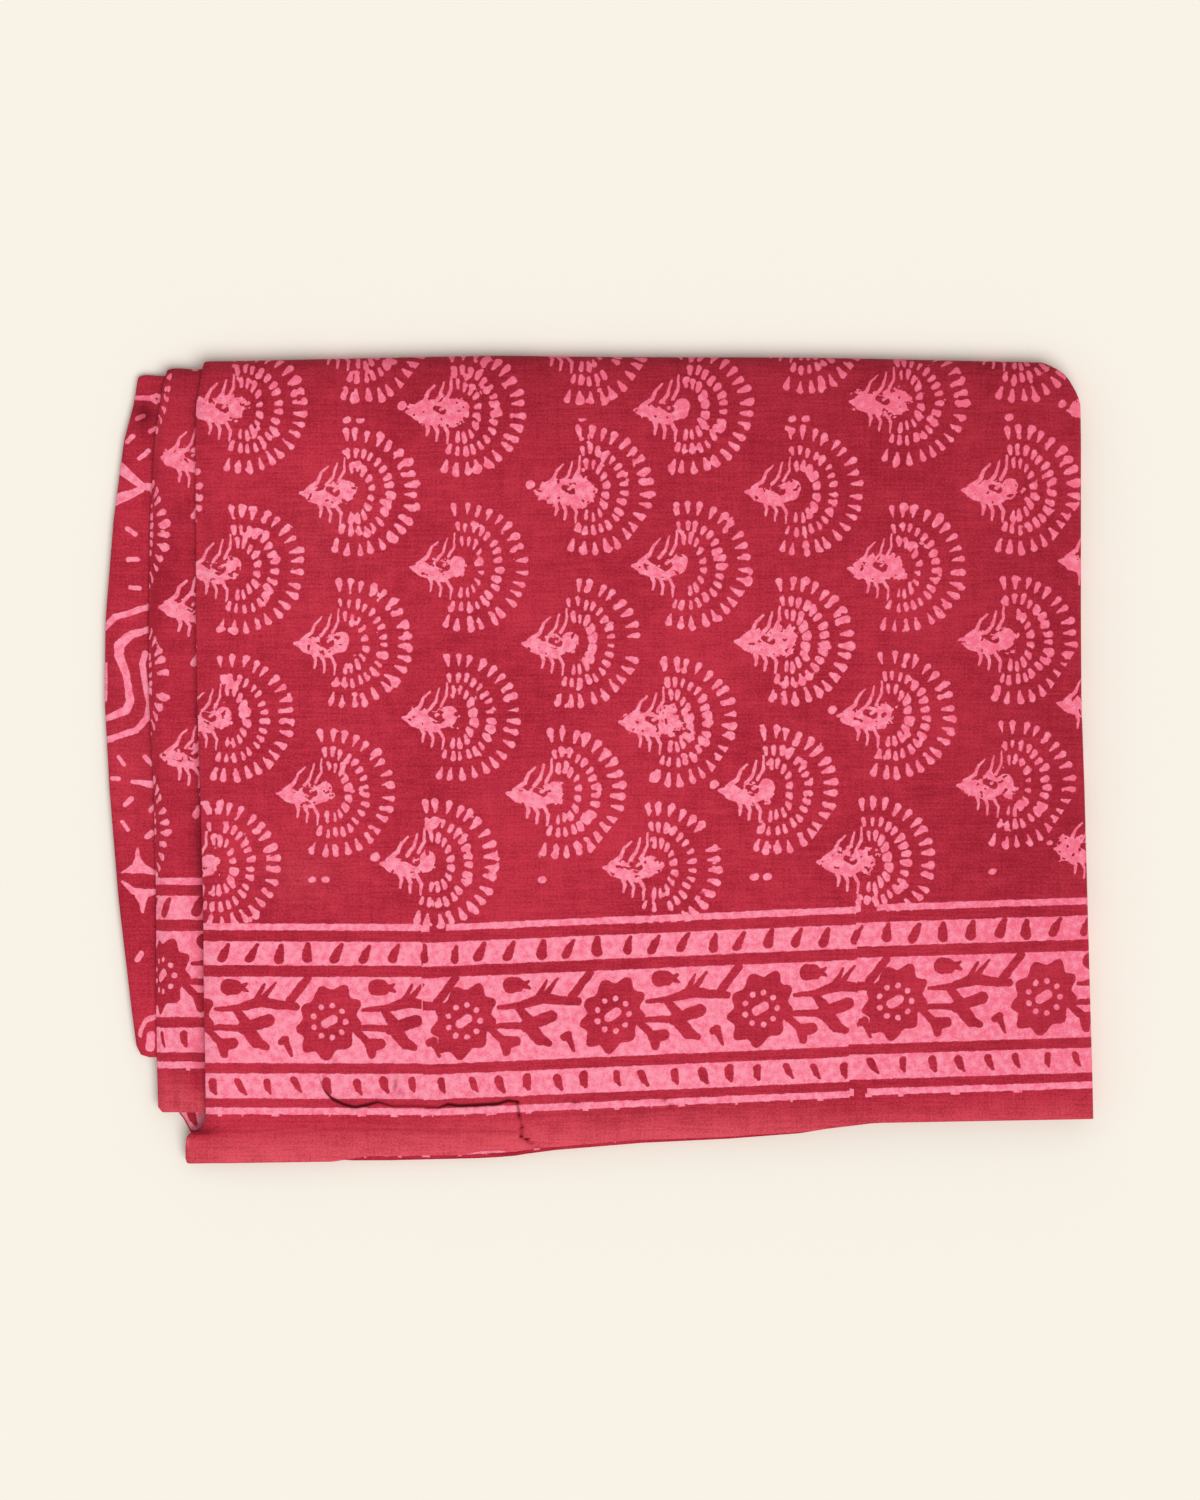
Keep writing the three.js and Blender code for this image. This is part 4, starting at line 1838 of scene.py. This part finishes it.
NET_STARS = (
    *chain(Knot(8.3, 338.0, 3.4), Knot(21.4, 327.2, 2.0), Knot(27.6, 326.2, 2.0), Knot(29.9, 320.9, 1.7)),
    *chain(Knot(5.4, 318.6, 3.4), Knot(21.4, 324.9, 1.8)),
    *chain(Knot(19.1, 119.6, 0.8), Knot(19.3, 114.4, 1.7), Knot(19.8, 109.9, 3.9)),
    *chain(Knot(10.4, 106.2, 0.5), Knot(16.0, 108.0, 2.2), Knot(23.0, 108.0, 2.5), Knot(30.5, 105.6, 1.0)),
    *chain(Knot(10.4, 101.0, 0.6), Knot(17.0, 95.4, 1.8), Knot(23.0, 94.0, 2.6), Knot(30.5, 95.2, 1.1)),
    *chain(Knot(21.6, 92.6, 3.7), Knot(22.0, 88.4, 1.8), Knot(22.2, 83.4, 0.7)),
    *chain(Knot(18.5, 377.3, 1.3), Knot(26.5, 377.2, 1.5), Knot(33.9, 380.8, 0.6)),
    *chain(Knot(26.5, 377.2, 1.5), Knot(32.8, 372.8, 0.6)),
    *chain(Knot(16.2, 157.9, 1.1), Knot(29.3, 156.2, 2.3)),
    *chain(Knot(27.1, 13.1, 2.3), Knot(26.5, 6.3, 2.8)),
)
NET_DOTS = (
    Stroke(19.1, 365.4, 22.5, 367.1, 1.3, 1.3),
    Stroke(26.5, 358.5, 29.9, 360.2, 1.3, 1.3),
    Stroke(13.4, 352.3, 16.8, 355.7, 1.3, 1.3),
    Stroke(20.2, 342.6, 25.4, 347.1, 1.3, 1.3),
    Stroke(13.4, 302.7, 17.9, 299.2, 1.3, 1.3),
    Stroke(14.0, 285.0, 19.1, 285.0, 1.4, 1.4),
    Stroke(15.1, 269.0, 20.2, 268.5, 1.3, 1.3),
    Stroke(1.1, 225.2, 1.1, 204.6, 0.9, 0.9),
    Stroke(8.3, 172.1, 11.7, 167.6, 1.1, 1.1),
    Stroke(23.1, 172.1, 27.1, 168.2, 1.3, 1.3),
    Stroke(4.8, 159.6, 8.3, 159.6, 1.3, 1.3),
    Stroke(12.2, 144.8, 15.7, 148.2, 1.3, 1.3),
    Stroke(26.5, 141.4, 29.3, 144.2, 1.3, 1.3),
    Stroke(10.5, 135.1, 14.0, 130.5, 1.1, 1.1),
    Stroke(24.8, 126.5, 27.6, 128.8, 1.7, 1.7),
    Stroke(19.1, 56.4, 21.4, 59.9, 1.5, 1.5),
)


@dataclass(frozen=True)
class NetFigure:
    """The wavy net of the cloth's end piece, which is mirrored from strip to strip."""

    left: float = -283.0
    front: float = -171.0
    width: float = 30.0
    length: float = 388.0
    offset: float = 3500.0

    def field(self, sketch: NodeSketch, warp: object, cloth: object) -> Signal:
        """How far inside the net's pale print a place is.

        Args:
            sketch: Where the nodes go.
            warp: The small shift, in metres, by which the hand-cut edges wander.
            cloth: The place on the cloth.

        Returns:
            The depth in millimetres, negative outside the print.
        """
        x, y, _ = sketch.split(sketch.vector("ADD", cloth, warp))
        x = sketch.math("PINGPONG", x * (1 / MM) - self.offset - self.left, self.width)
        y = sketch.math("PINGPONG", y * (1 / MM) - self.front, self.length)
        place = sketch.join(x, y)
        return sketch.strokes(place, (*NET_WAVES, *NET_STARS, *NET_DOTS))


# Finishes


def linear(red: int, green: int, blue: int) -> tuple[float, float, float, float]:
    """A screen colour from 0 to 255 as a linear one."""
    values = [channel / 255 for channel in (red, green, blue)]
    return (*[v / 12.92 if v <= 0.04045 else ((v + 0.055) / 1.055) ** 2.4 for v in values], 1.0)


# The unevenness of the dye: clouds, mottling and grain, then the streaks of the weft and of the warp
GROUND_GRAINS = (
    Grain(14, 14, 11, 2.0, 0.7),
    Grain(120, 120, 12, 2.0, 0.5),
    Grain(900, 900, 13, 2.0, 1.25),
    Grain(50, 850, 14, 1.0, 0.6),
    Grain(850, 50, 15, 1.0, 0.3),
)


@dataclass(frozen=True)
class DyedCotton:
    """Plain-woven cotton dyed crimson over a pale print, with the weave's fine relief and painted light
    and shade.
    """

    name: str
    deep: tuple = linear(158, 26, 46)
    light: tuple = linear(207, 54, 74)
    # Pale colour of the painted light on the front margins, and of washed dye
    light_and_wash_colour: tuple = linear(232, 91, 104)
    print_deep: tuple = linear(248, 108, 136)
    print_light: tuple = linear(255, 155, 176)
    # Dark colour of the painted shade, and of deeper dye
    shade_and_dark_dye_colour: tuple = linear(80, 0, 8)
    roughness: float = 0.88
    gloss: float = 0.12
    sheen: float = 0.03
    sheen_roughness: float = 0.5
    broad_wander: tuple = (Grain(230, 230, 1, strength=0.0012), Grain(230, 230, 2, strength=0.0012))
    fine_wander: tuple = (Grain(800, 800, 3, strength=0.0005), Grain(800, 800, 4, strength=0.0005))
    lightening: float = 0.9
    least_lightening: float = 0.55
    edge: float = 0.3
    edge_grain: Grain = Grain(1500, 1500, 22, strength=0.35)
    print_blots: tuple = (Grain(260, 260, 23, 2.0, 2.0), Grain(1400, 1400, 24, strength=1.5))
    print_tone: float = 0.6
    print_darkening: float = 1.8
    crease_shade_gain: float = 1.5
    crease_shade_dark: tuple = (0.25, 1.0)
    thread: float = 0.42
    thread_grain: Grain = Grain(900, 900, 31, 2.0, 2.0)
    relief_strength: float = 0.18
    relief: float = 0.1

    def warp(self, sketch: NodeSketch, cloth: object) -> bpy.types.NodeSocket:
        """The small shift by which the print's edges wander, in metres."""
        broad = sketch.join(*[sketch.noise(cloth, grain) for grain in self.broad_wander])
        fine = sketch.join(*[sketch.noise(cloth, grain) for grain in self.fine_wander])
        return sketch.vector("ADD", broad, fine)

    def figure(self, sketch: NodeSketch, cloth: object) -> Signal | None:
        """How far inside the print a place is, or nothing for a plain cloth."""
        return None

    def ground(self, sketch: NodeSketch, cloth: object) -> Signal:
        """How light the dye is, from 0 to 1, before the print is laid on it."""
        tone = sketch.noise(cloth, GROUND_GRAINS[0])
        for grain in GROUND_GRAINS[1:]:
            tone = tone + sketch.noise(cloth, grain)
        return tone + 0.5

    def printed(self, sketch: NodeSketch, cloth: object, ground: object, shade_and_deep_dye: Signal) -> object:
        """The cloth's colour with its print laid on, or the ground's own where it has none.

        Args:
            sketch: Where the nodes go.
            cloth: The place on the cloth.
            ground: The colour of the ground.
            shade_and_deep_dye: How much darker the place is painted, as painted shade and as deeper dye.

        Returns:
            The colour.
        """
        field = self.figure(sketch, cloth)
        if field is None:
            return ground
        cover = (field + sketch.noise(cloth, self.edge_grain)).soft(-self.edge, self.edge)
        coarse, fine = [sketch.noise(cloth, grain) for grain in self.print_blots]
        # In the darker patches, partly painted shade, the print is darkened too
        tone = (coarse + fine + self.print_tone - shade_and_deep_dye * self.print_darkening).soft(0.0, 1.0)
        pale = sketch.chosen(tone, self.print_deep, self.print_light, "RGBA")
        pale = sketch.chosen(shade_and_deep_dye * shade_and_deep_dye, pale, self.shade_and_dark_dye_colour, "RGBA")
        return sketch.chosen(cover, ground, pale, "RGBA")

    def make(self) -> bpy.types.Material:
        """Makes the material.

        Returns:
            The material, with its nodes.
        """
        material = bpy.data.materials.new(self.name)
        material.use_nodes = True
        sketch = NodeSketch(material.node_tree)
        shader = next(n for n in material.node_tree.nodes if n.type == "BSDF_PRINCIPLED")
        cloth = sketch.map_place(PrintMap.CLOTH)
        # This map gives the painted shade of the tuck and creases, then the patches of painted light and
        # shade and of uneven dye
        crease_shade, light_shade_and_dye, _ = sketch.split(sketch.map_place(PrintMap.SHADE_AND_TONE))
        tone = self.ground(sketch, cloth).soft(0.0, 1.0)
        colour = sketch.chosen(tone, self.deep, self.light, "RGBA")
        # Lighter patches, partly painted light, blend towards the pale colour; darker ones, partly painted
        # shade, towards the dark shade colour
        shade_and_deep_dye = (-light_shade_and_dye).at_least(0.0)
        light_and_washed_dye = light_shade_and_dye.at_least(0.0) * (tone * self.lightening + self.least_lightening)
        colour = sketch.chosen(light_and_washed_dye, colour, self.light_and_wash_colour, "RGBA")
        colour = sketch.chosen(shade_and_deep_dye, colour, self.shade_and_dark_dye_colour, "RGBA")
        colour = self.printed(sketch, cloth, colour, shade_and_deep_dye)
        # Painted shade in the tuck and the creases, first towards the deep dye and then towards the dark
        # shade colour
        crease_shaded = (crease_shade * self.crease_shade_gain).at_most(1.0)
        colour = sketch.chosen(crease_shaded, colour, self.deep, "RGBA")
        colour = sketch.chosen(crease_shade.soft(*self.crease_shade_dark), colour, self.shade_and_dark_dye_colour, "RGBA")
        sketch.feed(shader.inputs["Base Color"], colour)
        shader.inputs["Roughness"].default_value = self.roughness
        shader.inputs["Specular IOR Level"].default_value = self.gloss
        shader.inputs["Sheen Weight"].default_value = self.sheen
        shader.inputs["Sheen Roughness"].default_value = self.sheen_roughness
        sketch.feed(shader.inputs["Normal"], self.weave(sketch, cloth))
        return material

    def weave(self, sketch: NodeSketch, cloth: object) -> bpy.types.NodeSocket:
        """The fine relief of the crossing threads.

        Args:
            sketch: Where the nodes go.
            cloth: The place on the cloth.

        Returns:
            The normal that the shader takes.
        """
        x, y, _ = sketch.split(cloth)
        turns = math.tau / (self.thread * MM)
        warp_thread = sketch.math("SINE", x * turns)
        weft_thread = sketch.math("SINE", y * turns)
        unevenness = sketch.noise(cloth, self.thread_grain)
        bump = sketch.add("ShaderNodeBump")
        bump.inputs["Strength"].default_value = self.relief_strength
        bump.inputs["Distance"].default_value = self.relief * MM
        sketch.feed(bump.inputs["Height"], warp_thread * weft_thread + unevenness)
        return bump.outputs[0]


@dataclass(frozen=True)
class FanCotton(DyedCotton):
    """The cloth's field, with its fans."""

    def figure(self, sketch: NodeSketch, cloth: object) -> Signal | None:
        """How far inside a fan a place is."""
        return FanFigure().field(sketch, self.warp(sketch, cloth), cloth)


@dataclass(frozen=True)
class BorderCotton(DyedCotton):
    """The cloth's border, with the fans that run down to its upper line."""

    fans_end: float = 102.5

    def figure(self, sketch: NodeSketch, cloth: object) -> Signal | None:
        """How far inside the border or a fan a place is."""
        warp = self.warp(sketch, cloth)
        fan = FanFigure().field(sketch, warp, cloth)
        _, up, _ = sketch.split(sketch.map_place(PrintMap.BORDER))
        fan = fan.at_most(up * (1 / MM) - self.fans_end)
        return BorderFigure().field(sketch, warp).at_least(fan)


@dataclass(frozen=True)
class NetCotton(DyedCotton):
    """The end piece of the cloth, with its net."""

    def figure(self, sketch: NodeSketch, cloth: object) -> Signal | None:
        """How far inside the net a place is."""
        return NetFigure().field(sketch, self.warp(sketch, cloth), cloth)


# In the order of Printed
FINISHES = (
    FanCotton("fan_print"),
    BorderCotton("border_print"),
    NetCotton("net_print"),
    DyedCotton("reverse"),
)


# The piece and the room


@dataclass
class Spread:
    """Lays the cloth's faces out on one square, for a drawing of its finished colours.

    What shows from above and from below is large, as seen from those sides, and the rest is small.
    Places are in fractions of the square, and a region is its left, its lower edge, width and height.
    """

    shape: PacketShape
    above: float = 1.25 / 1024
    below: float = 0.78 / 1024
    opening: float = 0.003
    half_width: float = 298.0
    half_depth: float = 244.0
    lower_edge: float = 0.604
    printed_room: tuple = (0.474, 0.616, 0.516, 0.374)
    reverse_room: tuple = (0.762, 0.01, 0.228, 0.585)
    rim_room: tuple = (0.738, 0.01, 0.003, 0.585)
    rim_width: float = 0.8
    margin: float = 0.006
    showing: float = 2.0

    def into(self, room: tuple, across: np.ndarray, along: np.ndarray) -> np.ndarray:
        """Places in a region from their shares of its width and its height."""
        return np.stack([room[0] + room[2] * across, room[1] + room[3] * along], axis=-1)

    def seen(self, corners: np.ndarray, depth: np.ndarray, scale: float, bottom: float) -> np.ndarray:
        """Places as seen from above or from below, where what lies deeper is spread further out.

        Args:
            corners: The faces' corners, in millimetres.
            depth: How deep each corner lies under the side that is looked at.
            scale: How much of the square one millimetre takes.
            bottom: Where the region begins on the square.

        Returns:
            The places.
        """
        opened = 1.0 + depth * self.opening
        across = self.margin + (corners[..., 0] * opened + self.half_width) * scale
        up = bottom + (corners[..., 1] * opened + self.half_depth) * scale
        return np.stack([across, up], axis=-1)

    def is_free(self, grid: Grid, middle: np.ndarray, table: tuple) -> np.ndarray:
        """Which faces no other leaf covers, from the place of the leaf's fold above them.

        Args:
            grid: The mid-surface.
            middle: The faces' middles.
            table: The folds of the upper or the lower half.

        Returns:
            True or False for each face.
        """
        layers = grid.layers[:, None]
        brink = {
            1: np.inf,
            3: read(table, "y", middle[..., 1], "outer") + self.showing,
            5: read(table, "y", middle[..., 1], "middle") + self.showing,
        }
        is_free = np.zeros(middle.shape[:2], dtype=bool)
        for layer, edge in brink.items():
            is_free |= (layers == layer) & (middle[..., 0] < edge)
        return is_free

    def places(self, grid: Grid) -> np.ndarray:
        """The place of every face corner: the printed side, the reverse and then the cut edges.

        Args:
            grid: The mid-surface.

        Returns:
            One place for each corner, in the order of the mesh's faces.
        """
        points = grid.points
        corners = np.stack([points[:-1, :-1], points[1:, :-1], points[1:, 1:], points[:-1, 1:]], axis=2)
        facing = np.cross(corners[:, :, 2] - corners[:, :, 0], corners[:, :, 3] - corners[:, :, 1])
        middle = corners.mean(axis=2)
        steps = grid.steps_along()
        travelled = np.concatenate([[0.0], np.cumsum(steps)]) / steps.sum()
        passed = (grid.print_y - grid.print_y.min()) / np.ptp(grid.print_y)
        along = np.stack([travelled[:-1], travelled[1:], travelled[1:], travelled[:-1]], axis=-1)
        along = np.broadcast_to(along[:, None], corners.shape[:3])
        across = quads(passed[:-1], passed[1:])

        printed = self.into(self.printed_room, along, across)
        top = float(points[..., 2].max())
        from_above = self.seen(corners, top - corners[..., 2], self.above, self.margin)
        from_below = self.seen(corners, corners[..., 2], self.below, self.lower_edge)
        is_up = (facing[..., 2] > 0) & self.is_free(grid, middle, UPPER_FOLDS)
        is_down = (facing[..., 2] < 0) & self.is_free(grid, middle, LOWER_FOLDS)
        is_down &= middle[..., 2] < self.shape.pitch * (self.shape.layers - 0.5)
        printed = np.where(is_up[..., None, None], from_above, printed)
        printed = np.where(is_down[..., None, None], from_below, printed)
        reverse = self.into(self.reverse_room, across, along)[:, :, [0, 3, 2, 1]]

        rims = []
        for number, stops in enumerate([travelled, travelled, passed[0], passed[-1]]):
            run = np.stack([stops[:-1], stops[:-1], stops[1:], stops[1:]], axis=-1)
            side = np.broadcast_to([0.0, self.rim_width, self.rim_width, 0.0], run.shape)
            rims.append(self.into(self.rim_room, side + number, run).reshape(-1, 2))
        return np.concatenate([printed.reshape(-1, 2), reverse.reshape(-1, 2), *rims])


@dataclass
class Packet:
    """The folded cloth as one closed sheet.

    Each layer's places on the cloth are shifted by metres, so that its chance marks are its own.
    """

    shape: PacketShape
    fans: FanStamps
    border: BorderStamps
    net_layer: int = 5
    layer_shift: float = 0.7

    def mesh_of(self, grid: Grid) -> bpy.types.Mesh:
        """The sheet's two faces and its cut edges.

        Args:
            grid: The mid-surface.

        Returns:
            The mesh, in metres.
        """
        points = grid.points
        along, across = np.empty_like(points), np.empty_like(points)
        along[1:-1] = points[2:] - points[:-2]
        along[0], along[-1] = points[1] - points[0], points[-1] - points[-2]
        across[:, 1:-1] = points[:, 2:] - points[:, :-2]
        across[:, 0], across[:, -1] = points[:, 1] - points[:, 0], points[:, -1] - points[:, -2]
        normal = np.cross(along, across)
        normal /= np.linalg.norm(normal, axis=2, keepdims=True)
        offset = normal * self.shape.thickness / 2
        vertices = np.concatenate([(points + offset).reshape(-1, 3), (points - offset).reshape(-1, 3)])

        outer, inner = np.arange(2 * points[..., 0].size).reshape(2, *points.shape[:2])
        top = quads(outer[:-1], outer[1:])
        under = quads(inner[:-1], inner[1:])[..., [0, 3, 2, 1]]
        edges = [
            (outer[:, 0], inner[:, 0]),
            (inner[:, -1], outer[:, -1]),
            (inner[0], outer[0]),
            (outer[-1], inner[-1]),
        ]
        rims = [np.stack([a[:-1], b[:-1], b[1:], a[1:]], axis=-1) for a, b in edges]
        faces = np.concatenate([top.reshape(-1, 4), under.reshape(-1, 4), *rims])
        mesh = bpy.data.meshes.new(PACKET)
        mesh.from_pydata((vertices * MM).tolist(), [], faces.tolist())
        mesh.polygons.foreach_set("use_smooth", [True] * len(faces))
        return mesh

    def corners(self, grid: Grid) -> tuple[np.ndarray, np.ndarray]:
        """The print X and the place along the cloth, by strip, row and corner of each face."""
        return quads(grid.start_x, grid.stop_x), quads(grid.print_y[:-1], grid.print_y[1:])

    def write_map(self, mesh: bpy.types.Mesh, name: PrintMap, outer: np.ndarray) -> None:
        """Writes one map: its own places on the printed side, and the same mirrored on the reverse.

        Args:
            mesh: The cloth's mesh.
            name: Which map.
            outer: The printed side's places, by strip, row, corner and axis.
        """
        inner = outer[:, :, [0, 3, 2, 1]].reshape(-1, 2)
        used = np.concatenate([outer.reshape(-1, 2), inner])
        rest = np.zeros((len(mesh.loops) - len(used), 2))
        layer = mesh.uv_layers.new(name=name.value)
        layer.data.foreach_set("uv", np.concatenate([used, rest]).ravel().astype(np.float32))

    def write_prints(self, mesh: bpy.types.Mesh, grid: Grid) -> np.ndarray:
        """Writes the maps that the finishes read: the cloth, the fans, the border, and the painted shade
        and tone.

        Args:
            mesh: The cloth's mesh.
            grid: The mid-surface.

        Returns:
            The border map's places on the printed side.
        """
        x, y = self.corners(grid)
        edge = grid.print_y[:, -1]
        far = np.stack([edge[:-1], edge[1:], edge[1:], edge[:-1]], axis=-1)[:, None, :]
        far = np.broadcast_to(far, x.shape)
        own_shift = grid.layers[:, None, None] * self.layer_shift
        cloth = np.stack([x * MM + own_shift, y * MM], axis=-1)
        even, odd = np.zeros_like(cloth), np.zeros_like(cloth)
        border, wear = np.zeros_like(cloth), np.zeros_like(cloth)
        for layer in np.unique(grid.layers).tolist():
            on = grid.layers == layer
            last = float(far[on].mean()) - self.border.far_clear
            even[on] = self.fans.local(layer, False, x[on], y[on], last)
            odd[on] = self.fans.local(layer, True, x[on], y[on], last)
            border[on] = self.border.local(layer, x[on], y[on], far[on])
            # Painted shade in the tuck and creases, then the patches of painted light and shade and of
            # uneven dye
            wear[on, :, :, 0] = self.shape.crease_shade(layer, x[on], y[on])
            wear[on, :, :, 1] = self.shape.light_shade_and_dye(layer, x[on], y[on])
        self.write_map(mesh, PrintMap.CLOTH, cloth)
        self.write_map(mesh, PrintMap.EVEN_FANS, even)
        self.write_map(mesh, PrintMap.ODD_FANS, odd)
        self.write_map(mesh, PrintMap.BORDER, border)
        self.write_map(mesh, PrintMap.SHADE_AND_TONE, wear)
        return border

    def dress(self, mesh: bpy.types.Mesh, grid: Grid, border: np.ndarray) -> None:
        """Gives each face its finish.

        Args:
            mesh: The cloth's mesh.
            grid: The mid-surface.
            border: The border map's places on the printed side.
        """
        is_border = border[..., 1].min(axis=-1) < self.border.height * MM
        finish = np.where(is_border, Printed.BORDER.value, Printed.FIELD.value)
        finish[grid.layers == self.net_layer] = Printed.NET.value
        reverse = np.full(len(mesh.polygons) - finish.size, Printed.REVERSE.value)
        mesh.polygons.foreach_set("material_index", np.concatenate([finish.ravel(), reverse]))
        for cotton in FINISHES:
            mesh.materials.append(cotton.make())

    def build(self) -> bpy.types.Object:
        """Makes the cloth.

        Returns:
            The object, with its maps and finishes.
        """
        grid = self.shape.build()
        mesh = self.mesh_of(grid)
        border = self.write_prints(mesh, grid)
        drawing = mesh.uv_layers.new(name="OFBake")
        drawing.data.foreach_set("uv", Spread(self.shape).places(grid).ravel().astype(np.float32))
        self.dress(mesh, grid, border)
        cloth = bpy.data.objects.new(PACKET, mesh)
        bpy.context.collection.objects.link(cloth)
        LOG.info("cloth has %d faces", len(mesh.polygons))
        LOG.info("cloth is %.0f mm long along one row", grid.steps_along().sum())
        LOG.info("cloth is %.0f mm wide at its middle", grid.width())
        return cloth


@dataclass
class Studio:
    """The pale floor, the soft light and the camera straight above."""

    floor_colour: tuple = linear(250, 244, 232)
    floor_size: float = 12.0
    floor_gap: float = 0.0002
    light_place: tuple = (0.6, -1.0, 2.0)
    light_strength: float = 1.85
    light_spread: float = 45.0
    room_light: float = 0.48
    camera_height: float = 3.6
    frame_height: float = 0.855
    aim: tuple = (0.0006, 0.0051)
    surface: float = 0.016
    film_width: float = 36.0
    nearest: float = 0.1

    def build(self) -> None:
        """Makes the floor, the lights and the camera."""
        self.make_floor()
        self.make_light()
        self.make_camera()

    def make_floor(self) -> None:
        """A large plain floor under the packet."""
        place = (0.0, 0.0, -self.floor_gap)
        bpy.ops.mesh.primitive_plane_add(size=self.floor_size, location=place)
        floor = bpy.context.object
        floor.name = "floor"
        material = bpy.data.materials.new("floor")
        material.use_nodes = True
        shader = next(n for n in material.node_tree.nodes if n.type == "BSDF_PRINCIPLED")
        shader.inputs["Base Color"].default_value = self.floor_colour
        shader.inputs["Roughness"].default_value = 1.0
        shader.inputs["Specular IOR Level"].default_value = 0.0
        floor.data.materials.append(material)

    def make_light(self) -> None:
        """A large soft light in front on the right, and an even light from all round."""
        light = bpy.data.lights.new("soft_light", "SUN")
        light.angle = math.radians(self.light_spread)
        light.energy = self.light_strength
        lamp = bpy.data.objects.new("soft_light", light)
        lamp.location = self.light_place
        lamp.rotation_mode = "QUATERNION"
        lamp.rotation_quaternion = (-Vector(lamp.location)).to_track_quat("-Z", "Y")
        bpy.context.collection.objects.link(lamp)
        world = bpy.data.worlds.new("room")
        world.use_nodes = True
        background = world.node_tree.nodes["Background"]
        background.inputs["Color"].default_value = (1.0, 1.0, 1.0, 1.0)
        background.inputs["Strength"].default_value = self.room_light
        scene = bpy.context.scene
        scene.world = world
        scene.view_settings.view_transform = "Standard"
        scene.cycles.max_bounces = 3
        scene.cycles.diffuse_bounces = 2

    def make_camera(self) -> None:
        """The camera, straight above the packet."""
        camera = bpy.data.cameras.new("camera")
        camera.sensor_width = self.film_width
        camera.lens = self.film_width * self.camera_height / self.frame_height
        camera.clip_start = self.nearest
        holder = bpy.data.objects.new("camera", camera)
        holder.location = (*self.aim, self.camera_height + self.surface)
        bpy.context.collection.objects.link(holder)
        bpy.context.scene.camera = holder


def main() -> None:
    """Builds the cloth, dresses it and sets it in the studio."""
    logging.basicConfig(level=logging.INFO, format="%(name)s: %(message)s")
    cloth = Packet(PacketShape(), FanStamps(), BorderStamps()).build()
    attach(cloth, "root")
    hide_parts(CAD_NODE)
    Studio().build()


if __name__ == "__main__":
    main()
